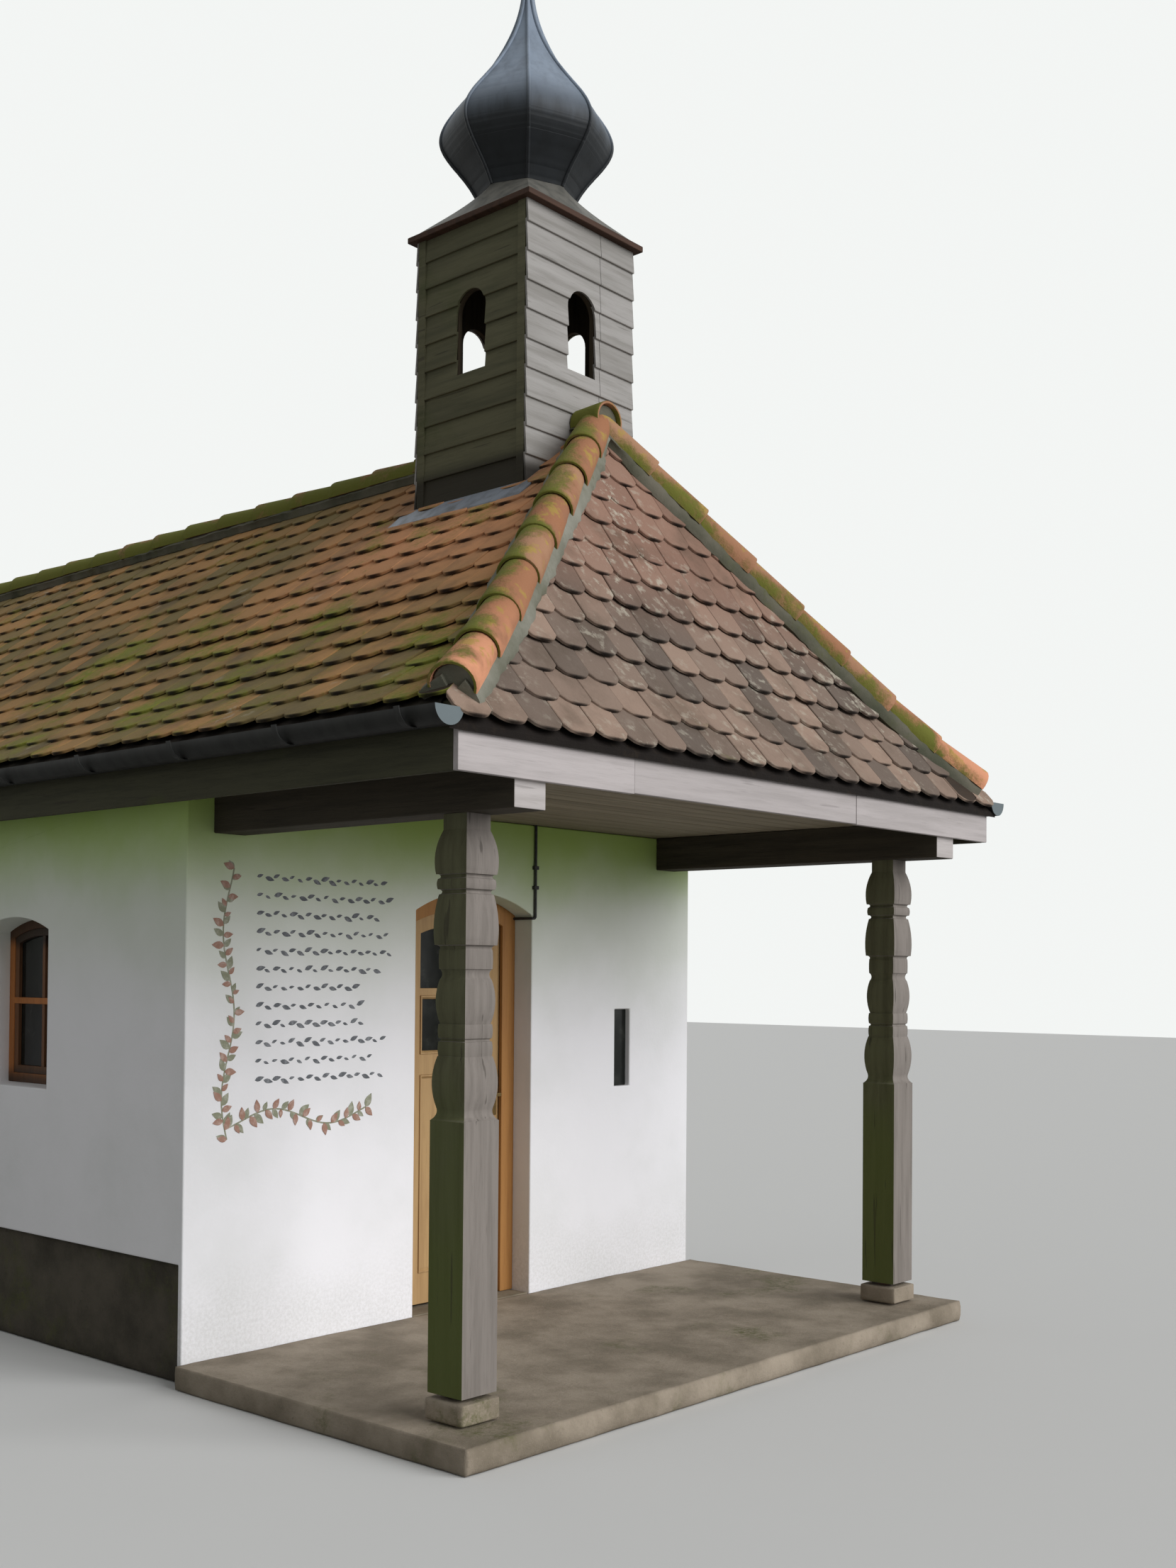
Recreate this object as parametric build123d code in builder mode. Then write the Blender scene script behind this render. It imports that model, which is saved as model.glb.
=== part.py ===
from build123d import *
import os
from math import cos, hypot, pi, radians, sin, sqrt, tan

# Small wayside chapel: one plastered room under a hipped roof that runs on over an open porch
# with two carved posts, and a boarded turret with an octagonal onion dome.
# Millimetres, +Z up. The front faces -Y. The origin is on the ground, under the middle of the roof.

# Walls and floors
BODY_WIDTH = 3335
BODY_DEPTH = 5400
WALL = 320
SLAB_TOP = 100
PLINTH_TOP = 496
PLINTH_SETBACK = 25
FRONT_SKIN = 30
WALL_TOP = 2445
CEILING_BOARD = 20
CEILING_BEARING = 60

# Porch slab
SLAB_FRONT = 1700
SLAB_SIDE_MARGIN = 40

# Main roof: eaves and ridge are heights of the tiled surface
SIDE_OVERHANG = 200
FRONT_OVERHANG = 1790
REAR_OVERHANG = 220
EAVES_HEIGHT = 2620
RIDGE_HEIGHT = 4210
HIP_RUN = 990
END_DROP = 75
ROOF_PLUMB = 45
BELL_CAST = ((0.14, 34.5), (0.30, 39.0))

# Fascia boards and gutters
FASCIA_SETBACK = 35
FASCIA_THICKNESS = 25
FASCIA_FOOT = 2368
GUTTER_RADIUS = 65
GUTTER_SHEET = 3
GUTTER_DROP = 4
GUTTER_END = 10

# Hip and ridge tiles: tapered half-round tiles, each lapping the one below it
HIP_TILE_EXPOSURE = 320
HIP_TILE_LAP = 60
HIP_TILE_FOOT_RADIUS = 112
HIP_TILE_HEAD_RADIUS = 94

# Doorway and door
DOOR_CENTRE = -4
DOOR_WIDTH = 787
DOOR_SPRING = 1990
DOOR_RISE = 100
DOOR_SETBACK = 118
DOOR_STOP = 20
DOOR_FRAME_DEPTH = 72
DOOR_FRAME_FACE = 90
DOOR_REBATE = 14
DOOR_GAP = 8
DOOR_SEAL_GAP = 6
LEAF_FOOT_GAP = 10
LEAF_STILE = 78
GLASS_FOOT = 1306
MUNTIN_HEIGHT = 1605
MUNTIN = 36
PANEL_FOOT = 260
PANEL_HEAD = 1206
PANEL_RECESS = 9
DOOR_GLASS = 8

# Door ironmongery
HINGE_HEIGHTS = (400, 1700)
HINGE_RADIUS = 10
HINGE_PIN_RADIUS = 6
HINGE_PIN_CLEARANCE = 0.4
HINGE_KNUCKLE = 50
HINGE_LEAF = 3
HINGE_LEAF_WIDTH = 34
LOCK_HEIGHT = 1090
LOCK_PLATE = (38, 210, 3)
LEVER_NECK_RADIUS = 9
LEVER_REACH = 46
LEVER_LENGTH = 110
LEVER_BAR = (14, 16)

# Slit beside the door
SLIT_CENTRE = 1099.5
SLIT_WIDTH = 124
SLIT_FOOT = 1100
SLIT_HEAD = 1510
SLIT_GLASS_SETBACK = 30
SLIT_GLASS = 8

# Cable from the loft to the door frame, clipped to the wall beside the doorway's corner
CABLE_RADIUS = 7
CABLE_STANDOFF = 9
CABLE_FROM_REVEAL = 14
CABLE_TURN = 1975
CABLE_BEND = 12
CABLE_CLIPS = (2130, 2230)
CABLE_CLIP = (30, 18, 18)

# Side windows
WINDOW_WIDTH = 600
WINDOW_FOOT = 1160
WINDOW_SPRING = 1880
WINDOW_RISE = 60
WINDOW_FROM_CORNER = 1365
WINDOW_SETBACK = 150
WINDOW_FRAME_DEPTH = 50
WINDOW_FRAME_FACE = 45
WINDOW_BAR = 30
WINDOW_GLASS = 6

# Posts: square carved posts on small blocks
POST_WIDTH = 175
POST_INSET = 209
POST_FRONT = 1505
POST_BLOCK = 200
POST_BLOCK_HEIGHT = 85
POST_SHOE = 110
POST_SHOE_HEIGHT = 14

# Plates over the posts
PLATE_WIDTH = 160
PLATE_HEIGHT = 175

# Turret
TURRET_SIDE = 736
TURRET_SETOUT = 289
TURRET_TOP = 5160
TURRET_WALL = 45
TURRET_OPENING = 190
TURRET_OPENING_FOOT = 4467
TURRET_OPENING_SPRING = 4755
CORNICE_OVERHANG = 30
CORNICE_THICKNESS = 28
FLASHING_WIDTH = 110
FLASHING_PLUMB = 8
FLASHING_END = 60

# Dome: octagonal onion; radii are to the ribs
SKIRT_INSET = 12
NECK_HEIGHT = 5385
NECK_RADIUS = 235
DOME_CURVE = ((300, 97), (408, 260), (300, 465), (168, 635), (68, 815))
DOME_TIP_RADIUS = 22
DOME_TIP = 1095

# Finial
ROD_RADIUS = 16
BALL_RADIUS = 45
BALL_ABOVE_TIP = 70
CROSS_HEIGHT = 400
CROSS_SPAN = 250
CROSS_BAR = 24
CROSS_ARM_DROP = 135

# Overall lines that the rest is set from
half_width = BODY_WIDTH / 2
roof_half = half_width + SIDE_OVERHANG
roof_length = FRONT_OVERHANG + BODY_DEPTH + REAR_OVERHANG
roof_front = -roof_length / 2
roof_rear = roof_length / 2
wall_front = roof_front + FRONT_OVERHANG
wall_rear = wall_front + BODY_DEPTH
fascia_x = roof_half - FASCIA_SETBACK
end_apron = END_DROP * HIP_RUN / (roof_half * tan(radians(BELL_CAST[0][1])))
corner_front = roof_front + end_apron
corner_rear = roof_rear - end_apron
apex_front = corner_front + HIP_RUN
apex_rear = corner_rear - HIP_RUN
room_half = half_width - WALL
room_front = wall_front + WALL
room_rear = wall_rear - WALL
turret_half = TURRET_SIDE / 2
turret_centre = wall_front - TURRET_SETOUT
turret_front = turret_centre - turret_half
turret_rear = turret_centre + turret_half
SIDES = (("left", -1), ("right", 1))

os.makedirs("parts", exist_ok=True)


def span(low, high):
    """Return a pair of bounds in rising order."""
    return (min(low, high), max(low, high))


def slab(x, y, z, mode=Mode.ADD):
    """Extrude a rectangle that fills the bounds x, y and z, each a (low, high) pair."""
    with BuildSketch(Plane.XY.offset(z[0])) as outline:
        with Locations(((x[0] + x[1]) / 2, (y[0] + y[1]) / 2)):
            Rectangle(x[1] - x[0], y[1] - y[0])
    extrude(outline.sketch, amount=z[1] - z[0], mode=mode)


def front_plane(y):
    """Plane that faces -Y at depth y, with its x along X and its y up."""
    return Plane.XZ.offset(-y)


def side_plane(x, centre_y):
    """Plane that faces +X at x, with its x along Y from centre_y and its y up."""
    return Plane(origin=(x, centre_y, 0), x_dir=(0, 1, 0), z_dir=(1, 0, 0))


def arched(plane, width, foot, spring, rise, inset=0, foot_inset=0):
    """Opening outline with a segmental head, drawn in by inset at its sides and head."""
    radius = (width ** 2 / 4 + rise ** 2) / (2 * rise)
    centre = spring + rise - radius
    half = width / 2 - inset
    shoulder = centre + sqrt((radius - inset) ** 2 - half ** 2)
    crown = spring + rise - inset
    low = foot + foot_inset
    with BuildSketch(plane) as outline:
        with BuildLine():
            Polyline((-half, shoulder), (-half, low), (half, low), (half, shoulder))
            ThreePointArc((half, shoulder), (0, crown), (-half, shoulder))
        make_face()
    return outline.sketch


# Roof form: the same shares of the run give the same heights on all four slopes, so the hips
# stay in one upright plane however steep the ends are. The tiles of both ends run on below the
# side eaves by END_DROP, between the gutters.
def roof_heights(drop=0):
    """Heights of the roof surface at its shares of the run, lowered by drop."""
    heights = [(0, EAVES_HEIGHT - drop)]
    share_before = 0
    for share, pitch in BELL_CAST:
        rise = (share - share_before) * roof_half * tan(radians(pitch))
        heights.append((share, heights[-1][1] + rise))
        share_before = share
    heights.append((1, RIDGE_HEIGHT - drop))
    return heights


def under_roof(drop, base):
    """Everything between the level base and the roof surface lowered by drop."""
    heights = roof_heights(drop)
    across = [(-roof_half * (1 - share), z) for share, z in heights]
    across += [(-x, z) for x, z in reversed(across[:-1])]
    end_z = heights[0][1] - END_DROP
    along = [(roof_front, end_z)] + [(corner_front + HIP_RUN * share, z) for share, z in heights]
    along += [(-y, z) for y, z in reversed(along)]
    with BuildPart() as body:
        with BuildSketch(front_plane(roof_front)) as cross_section:
            Polygon((-roof_half, base), *across, (roof_half, base), align=None)
        extrude(cross_section.sketch, amount=-roof_length)
        with BuildSketch(side_plane(-roof_half, 0)) as long_section:
            Polygon((roof_front, base), *along, (roof_rear, base), align=None)
        extrude(long_section.sketch, amount=2 * roof_half, mode=Mode.INTERSECT)
    return body.part


roof_foot = EAVES_HEIGHT - END_DROP - ROOF_PLUMB
outer_form = under_roof(0, roof_foot)
inner_form = under_roof(ROOF_PLUMB, FASCIA_FOOT)
solid_form = under_roof(0, FASCIA_FOOT)

left_plan = ((-roof_half, corner_front), (0, apex_front), (0, apex_rear), (-roof_half, corner_rear))
front_plan = (
    (-fascia_x, roof_front),
    (fascia_x, roof_front),
    (fascia_x, corner_front),
    (roof_half, corner_front),
    (0, apex_front),
    (-roof_half, corner_front),
    (-fascia_x, corner_front),
)
slope_plans = {
    "roof_left": left_plan,
    "roof_right": [(-x, y) for x, y in left_plan],
    "roof_front": front_plan,
    "roof_rear": [(x, -y) for x, y in front_plan],
}
for slope_name, plan in slope_plans.items():
    with BuildPart() as roof_slope:
        with BuildSketch(Plane.XY.offset(roof_foot)) as slope_plan:
            Polygon(*plan, align=None)
        extrude(slope_plan.sketch, amount=RIDGE_HEIGHT - roof_foot)
        add(outer_form, mode=Mode.INTERSECT)
        add(inner_form, mode=Mode.SUBTRACT)
    roof_slope.part.label = slope_name
    export_step(roof_slope.part, f"parts/{slope_name}.step")


# Hip and ridge tiles
def tile_run(points):
    """Chain of tapered round tiles whose axes follow points, as one solid."""
    lengths = [hypot(*(b - a for a, b in zip(start, end))) for start, end in zip(points, points[1:])]
    total = sum(lengths)
    count = max(1, round(total / HIP_TILE_EXPOSURE))
    exposure = total / count

    def along(distance):
        """Point at a distance along the chain."""
        for start, end, length in zip(points, points[1:], lengths):
            if distance <= length or end == points[-1]:
                return Vector(start) + (Vector(end) - Vector(start)) * (distance / length)
            distance -= length

    with BuildPart() as run:
        for index in range(count):
            foot = along(index * exposure)
            axis = along((index + 1) * exposure) - foot
            length = axis.length + (HIP_TILE_LAP if index < count - 1 else 0)
            with Locations(Plane(origin=foot, z_dir=axis)):
                Cone(
                    HIP_TILE_FOOT_RADIUS,
                    HIP_TILE_HEAD_RADIUS,
                    length,
                    align=(Align.CENTER, Align.CENTER, Align.MIN),
                )
    return run.part


def hip_points(side, corner_y, run):
    """Points of a hip line from the eaves corner up to the apex."""
    return [
        (side * roof_half * (1 - share), corner_y + run * share, z) for share, z in roof_heights()
    ]


def hip_half(side, corner_y, run, bounds_y):
    """Tiles of one hip, cut off over the middle of the roof and beyond bounds_y."""
    with BuildPart() as half:
        add(tile_run(hip_points(side, corner_y, run)))
        slab(span(0, side * roof_half), bounds_y, (EAVES_HEIGHT, tile_top), Mode.INTERSECT)
        add(solid_form, mode=Mode.SUBTRACT)
    return half.part


tile_top = RIDGE_HEIGHT + 2 * HIP_TILE_FOOT_RADIUS
for end_name, corner_y, run_in, bounds_y in (
    ("front", corner_front, HIP_RUN, (roof_front, turret_front)),
    ("rear", corner_rear, -HIP_RUN, (apex_rear, roof_rear)),
):
    with BuildPart() as hip_tiles:
        for _, side in SIDES:
            add(hip_half(side, corner_y, run_in, bounds_y))
    hip_name = f"hip_tiles_{end_name}"
    hip_tiles.part.label = hip_name
    export_step(hip_tiles.part, f"parts/{hip_name}.step")

with BuildPart() as ridge_tiles:
    add(tile_run([(0, apex_rear, RIDGE_HEIGHT), (0, turret_rear, RIDGE_HEIGHT)]))
    add(solid_form, mode=Mode.SUBTRACT)
ridge_tiles.part.label = "ridge_tiles"
export_step(ridge_tiles.part, "parts/ridge_tiles.step")


# Fascia boards under the tile edge, cut to the slope of the roof above them
fascia_front = roof_front + FASCIA_SETBACK
fascia_rear = roof_rear - FASCIA_SETBACK
soffit_x = fascia_x - FASCIA_THICKNESS
soffit_front = fascia_front + FASCIA_THICKNESS
soffit_rear = fascia_rear - FASCIA_THICKNESS
fascia_bounds = {
    "fascia_front": [((-fascia_x, fascia_x), (fascia_front, soffit_front))],
    "fascia_rear": [((-fascia_x, fascia_x), (soffit_rear, fascia_rear))],
    "fascia_sides": [
        (span(side * soffit_x, side * fascia_x), (soffit_front, soffit_rear)) for _, side in SIDES
    ],
}
for fascia_name, boards in fascia_bounds.items():
    with BuildPart() as fascia:
        for x_bounds, y_bounds in boards:
            slab(x_bounds, y_bounds, (FASCIA_FOOT, RIDGE_HEIGHT))
        add(inner_form, mode=Mode.INTERSECT)
    fascia.part.label = fascia_name
    export_step(fascia.part, f"parts/{fascia_name}.step")


# Half-round gutters with closed ends along both side eaves
gutter_x = fascia_x + GUTTER_RADIUS
gutter_z = EAVES_HEIGHT - ROOF_PLUMB - GUTTER_DROP
gutter_half_length = roof_rear - GUTTER_END


def gutter_section(y, side, bore):
    """Lower half of a ring, or of a disc where bore is 0, about the gutter's axis at depth y."""
    with BuildSketch(front_plane(y)) as section:
        with Locations((side * gutter_x, gutter_z)):
            Circle(GUTTER_RADIUS)
            if bore:
                Circle(bore, mode=Mode.SUBTRACT)
            Rectangle(
                2 * GUTTER_RADIUS,
                GUTTER_RADIUS,
                align=(Align.CENTER, Align.MIN),
                mode=Mode.SUBTRACT,
            )
    return section.sketch


with BuildPart() as gutters:
    for _, side in SIDES:
        trough = gutter_section(-gutter_half_length, side, GUTTER_RADIUS - GUTTER_SHEET)
        extrude(trough, amount=-2 * gutter_half_length)
        for cap_y in (-gutter_half_length, gutter_half_length - GUTTER_SHEET):
            extrude(gutter_section(cap_y, side, 0), amount=-GUTTER_SHEET)
gutters.part.label = "gutters"
export_step(gutters.part, "parts/gutters.step")


# Ground works
with BuildPart() as porch_slab:
    slab_half = half_width + SLAB_SIDE_MARGIN
    slab((-slab_half, slab_half), (wall_front - SLAB_FRONT, wall_front), (0, SLAB_TOP))
porch_slab.part.label = "porch_slab"
export_step(porch_slab.part, "parts/porch_slab.step")

plinth_half = half_width - PLINTH_SETBACK
plinth_rear = wall_rear - PLINTH_SETBACK
with BuildPart() as nave_floor:
    slab((-room_half, room_half), (room_front, room_rear), (0, SLAB_TOP))
nave_floor.part.label = "nave_floor"
export_step(nave_floor.part, "parts/nave_floor.step")

door_left = DOOR_CENTRE - DOOR_WIDTH / 2
door_right = DOOR_CENTRE + DOOR_WIDTH / 2
with BuildPart() as door_threshold:
    slab((door_left, door_right), (wall_front, room_front), (0, SLAB_TOP))
door_threshold.part.label = "door_threshold"
export_step(door_threshold.part, "parts/door_threshold.step")

with BuildPart() as plinth_sides:
    for _, side in SIDES:
        slab(
            span(side * room_half, side * plinth_half),
            (wall_front + FRONT_SKIN, plinth_rear),
            (0, PLINTH_TOP),
        )
plinth_sides.part.label = "plinth_sides"
export_step(plinth_sides.part, "parts/plinth_sides.step")

with BuildPart() as rear_plinth:
    slab((-room_half, room_half), (room_rear, plinth_rear), (0, PLINTH_TOP))
rear_plinth.part.label = "plinth_rear"
export_step(rear_plinth.part, "parts/plinth_rear.step")


# Front wall: piers left and right of the doorway and the arched head over it. Only a skin of
# plaster runs down to the ground in front of the side plinths.
def cut_for_plinth(side):
    """Take the end of the side plinth out of a front pier."""
    y_bounds = (wall_front + FRONT_SKIN, room_front)
    slab(span(side * room_half, side * half_width), y_bounds, (0, PLINTH_TOP), Mode.SUBTRACT)


with BuildPart() as front_wall_left:
    slab((-half_width, door_left), (wall_front, room_front), (0, WALL_TOP))
    cut_for_plinth(-1)
front_wall_left.part.label = "front_wall_left"
export_step(front_wall_left.part, "parts/front_wall_left.step")

slit_x = span(SLIT_CENTRE - SLIT_WIDTH / 2, SLIT_CENTRE + SLIT_WIDTH / 2)
with BuildPart() as front_wall_right:
    slab((door_right, half_width), (wall_front, room_front), (0, WALL_TOP))
    slab(slit_x, (wall_front, room_front), (SLIT_FOOT, SLIT_HEAD), Mode.SUBTRACT)
    cut_for_plinth(1)
front_wall_right.part.label = "front_wall_right"
export_step(front_wall_right.part, "parts/front_wall_right.step")

with BuildPart() as slit_glass:
    glass_y = wall_front + SLIT_GLASS_SETBACK
    slab(slit_x, (glass_y, glass_y + SLIT_GLASS), (SLIT_FOOT, SLIT_HEAD))
slit_glass.part.label = "slit_glass"
export_step(slit_glass.part, "parts/slit_glass.step")


def door_outline(y, inset=0, foot=SLAB_TOP, foot_inset=0):
    """Doorway outline at depth y, drawn in by inset."""
    plane = Plane(origin=(DOOR_CENTRE, y, 0), x_dir=(1, 0, 0), z_dir=(0, -1, 0))
    return arched(plane, DOOR_WIDTH, foot, DOOR_SPRING, DOOR_RISE, inset, foot_inset)


with BuildPart() as front_wall_head:
    slab((door_left, door_right), (wall_front, room_front), (DOOR_SPRING, WALL_TOP))
    extrude(door_outline(wall_front), amount=-WALL, mode=Mode.SUBTRACT)
front_wall_head.part.label = "front_wall_head"
export_step(front_wall_head.part, "parts/front_wall_head.step")


# Side and rear walls, with two windows to a side
def window_outline(x, centre_y, inset=0, foot_inset=0):
    """Window outline in the plane at x."""
    plane = side_plane(x, centre_y)
    return arched(plane, WINDOW_WIDTH, WINDOW_FOOT, WINDOW_SPRING, WINDOW_RISE, inset, foot_inset)


window_places = (wall_front + WINDOW_FROM_CORNER, wall_rear - WINDOW_FROM_CORNER)
window_inner = WINDOW_FRAME_FACE
window_half = WINDOW_WIDTH / 2 - window_inner
bar_z = (WINDOW_FOOT + WINDOW_SPRING + WINDOW_RISE) / 2
bar_bounds = (bar_z - WINDOW_BAR / 2, bar_z + WINDOW_BAR / 2)
frame_x = half_width - WINDOW_SETBACK
glass_x = frame_x - (WINDOW_FRAME_DEPTH - WINDOW_GLASS) / 2
for side_name, side in SIDES:
    with BuildPart() as side_wall:
        slab(
            span(side * room_half, side * half_width),
            (room_front, wall_rear),
            (PLINTH_TOP, WALL_TOP),
        )
        for centre_y in window_places:
            extrude(
                window_outline(side * half_width, centre_y),
                amount=-side * WALL,
                mode=Mode.SUBTRACT,
            )
    wall_name = f"{side_name}_wall"
    side_wall.part.label = wall_name
    export_step(side_wall.part, f"parts/{wall_name}.step")


def window_bar(side, centre_y, outer_x, depth, mode=Mode.ADD):
    """Bar across the middle of a window, from outer_x inwards."""
    y_bounds = (centre_y - window_half, centre_y + window_half)
    slab(span(side * outer_x, side * (outer_x - depth)), y_bounds, bar_bounds, mode)


with BuildPart() as window_frames:
    for _, side in SIDES:
        for centre_y in window_places:
            depth = -side * WINDOW_FRAME_DEPTH
            opening = window_outline(side * frame_x, centre_y, window_inner, window_inner)
            extrude(window_outline(side * frame_x, centre_y), amount=depth)
            extrude(opening, amount=depth, mode=Mode.SUBTRACT)
            window_bar(side, centre_y, frame_x, WINDOW_FRAME_DEPTH)
window_frames.part.label = "window_frames"
export_step(window_frames.part, "parts/window_frames.step")

with BuildPart() as window_glass:
    for _, side in SIDES:
        for centre_y in window_places:
            pane = window_outline(side * glass_x, centre_y, window_inner, window_inner)
            extrude(pane, amount=-side * WINDOW_GLASS)
            window_bar(side, centre_y, glass_x, WINDOW_GLASS, Mode.SUBTRACT)
window_glass.part.label = "window_glass"
export_step(window_glass.part, "parts/window_glass.step")

with BuildPart() as rear_wall:
    slab((-room_half, room_half), (room_rear, wall_rear), (PLINTH_TOP, WALL_TOP))
rear_wall.part.label = "rear_wall"
export_step(rear_wall.part, "parts/rear_wall.step")


# Boarded ceilings and soffits in one level
board_z = (WALL_TOP, WALL_TOP + CEILING_BOARD)
ceiling_half = room_half + CEILING_BEARING
ceiling_front = room_front - CEILING_BEARING
ceiling_rear = room_rear + CEILING_BEARING
with BuildPart() as nave_ceiling:
    slab((-ceiling_half, ceiling_half), (ceiling_front, ceiling_rear), board_z)
nave_ceiling.part.label = "nave_ceiling"
export_step(nave_ceiling.part, "parts/nave_ceiling.step")

with BuildPart() as porch_ceiling:
    slab((-soffit_x, soffit_x), (soffit_front, ceiling_front), board_z)
porch_ceiling.part.label = "porch_ceiling"
export_step(porch_ceiling.part, "parts/porch_ceiling.step")

with BuildPart() as soffit_sides:
    for _, side in SIDES:
        slab(span(side * ceiling_half, side * soffit_x), (ceiling_front, ceiling_rear), board_z)
soffit_sides.part.label = "soffit_sides"
export_step(soffit_sides.part, "parts/soffit_sides.step")

with BuildPart() as soffit_rear_boards:
    slab((-soffit_x, soffit_x), (ceiling_rear, soffit_rear), board_z)
soffit_rear_boards.part.label = "soffit_rear"
export_step(soffit_rear_boards.part, "parts/soffit_rear.step")


# Porch posts: square posts carved into rings and vases above a plain shaft. Each member is
# (top, half width at its foot, at its belly, at its head), heights above the porch slab.
SHAFT = POST_WIDTH / 2
POST_MEMBERS = (
    (1070, SHAFT, SHAFT, SHAFT),
    (1115, SHAFT, 72, 72),
    (1300, 72, 84, 70),
    (1352, 68, 70, 68),
    (1364, 68, 62, 68),
    (1415, 68, 70, 68),
    (1575, 64, 76, 66),
    (1612, 66, 60, 66),
    (1680, 68, 69, 68),
    (1698, 68, 66, 80),
    (1880, 80, 82, 70),
    (1898, 70, 62, 70),
    (1936, 73, 76, 73),
    (1952, 73, 66, 78),
    (2112, 78, 80, 60),
)
post_x = half_width - POST_INSET
post_y = wall_front - POST_FRONT + POST_WIDTH / 2
post_foot = SLAB_TOP + POST_BLOCK_HEIGHT + POST_SHOE_HEIGHT
plate_foot = WALL_TOP - PLATE_HEIGHT


def carved_profile(plane):
    """Half outline of a post mirrored about its axis, drawn upright in plane."""
    with BuildSketch(plane) as outline:
        with BuildLine() as edge:
            foot_z = post_foot
            half_here = SHAFT
            for top, half_foot, half_belly, half_head in POST_MEMBERS:
                top_z = SLAB_TOP + top
                if half_foot != half_here:
                    Line((half_here, foot_z), (half_foot, foot_z))
                if half_foot == half_belly == half_head:
                    Line((half_foot, foot_z), (half_head, top_z))
                else:
                    middle = (half_belly, (foot_z + top_z) / 2)
                    ThreePointArc((half_foot, foot_z), middle, (half_head, top_z))
                foot_z = top_z
                half_here = half_head
            Polyline((half_here, foot_z), (half_here, plate_foot), (0, plate_foot), (0, post_foot))
            Line((0, post_foot), (SHAFT, post_foot))
        make_face()
        mirror(about=Plane.YZ)
    return outline.sketch


for side_name, side in SIDES:
    centre_x = side * post_x
    with BuildPart() as post:
        front_face = Plane(origin=(centre_x, post_y, 0), x_dir=(1, 0, 0), z_dir=(0, -1, 0))
        extrude(carved_profile(front_face), amount=POST_WIDTH, both=True)
        extrude(
            carved_profile(side_plane(centre_x, post_y)),
            amount=POST_WIDTH,
            both=True,
            mode=Mode.INTERSECT,
        )
    post_name = f"post_{side_name}"
    post.part.label = post_name
    export_step(post.part, f"parts/{post_name}.step")


def post_stack(reach, bounds_y, bounds_z):
    """Two upright blocks on the post axes, reaching that far to the left and right of them."""
    for _, side in SIDES:
        slab((side * post_x - reach, side * post_x + reach), bounds_y, bounds_z)


block_top = SLAB_TOP + POST_BLOCK_HEIGHT
with BuildPart() as post_blocks:
    reach = POST_BLOCK / 2
    post_stack(reach, (post_y - reach, post_y + reach), (SLAB_TOP, block_top))
post_blocks.part.label = "post_blocks"
export_step(post_blocks.part, "parts/post_blocks.step")

with BuildPart() as post_shoes:
    reach = POST_SHOE / 2
    post_stack(reach, (post_y - reach, post_y + reach), (block_top, post_foot))
post_shoes.part.label = "post_shoes"
export_step(post_shoes.part, "parts/post_shoes.step")

with BuildPart() as porch_plates:
    post_stack(PLATE_WIDTH / 2, (soffit_front, wall_front), (plate_foot, WALL_TOP))
porch_plates.part.label = "porch_plates"
export_step(porch_plates.part, "parts/porch_plates.step")


# Door frame: a stop in front and a wider rebate behind it, open at the foot
frame_y = wall_front + DOOR_SETBACK
rebate_y = frame_y + DOOR_STOP
frame_back = frame_y + DOOR_FRAME_DEPTH
with BuildPart() as door_frame:
    extrude(door_outline(frame_y), amount=-DOOR_FRAME_DEPTH)
    extrude(door_outline(frame_y, DOOR_FRAME_FACE), amount=-DOOR_STOP, mode=Mode.SUBTRACT)
    extrude(
        door_outline(rebate_y, DOOR_FRAME_FACE - DOOR_REBATE),
        amount=DOOR_STOP - DOOR_FRAME_DEPTH,
        mode=Mode.SUBTRACT,
    )
door_frame.part.label = "door_frame"
export_step(door_frame.part, "parts/door_frame.step")

# Door leaf: arched, glazed above a recessed panel
leaf_inset = DOOR_FRAME_FACE - DOOR_REBATE + DOOR_GAP
leaf_y = rebate_y + DOOR_SEAL_GAP
leaf_depth = frame_back - leaf_y
light_inset = leaf_inset + LEAF_STILE
light_half = DOOR_WIDTH / 2 - light_inset
light_x = (DOOR_CENTRE - light_half, DOOR_CENTRE + light_half)
muntin_z = (MUNTIN_HEIGHT - MUNTIN / 2, MUNTIN_HEIGHT + MUNTIN / 2)
with BuildPart() as door_leaf:
    extrude(door_outline(leaf_y, leaf_inset, foot_inset=LEAF_FOOT_GAP), amount=-leaf_depth)
    extrude(door_outline(leaf_y, light_inset, GLASS_FOOT), amount=-leaf_depth, mode=Mode.SUBTRACT)
    slab(light_x, (leaf_y, frame_back), muntin_z)
    for panel_y in (leaf_y, frame_back - PANEL_RECESS):
        slab(light_x, (panel_y, panel_y + PANEL_RECESS), (PANEL_FOOT, PANEL_HEAD), Mode.SUBTRACT)
door_leaf.part.label = "door_leaf"
export_step(door_leaf.part, "parts/door_leaf.step")

pane_y = (leaf_y + frame_back - DOOR_GLASS) / 2
with BuildPart() as door_glass:
    extrude(door_outline(pane_y, light_inset, GLASS_FOOT), amount=-DOOR_GLASS)
    slab(light_x, (pane_y, pane_y + DOOR_GLASS), muntin_z, Mode.SUBTRACT)
door_glass.part.label = "door_glass"
export_step(door_glass.part, "parts/door_glass.step")

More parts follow.
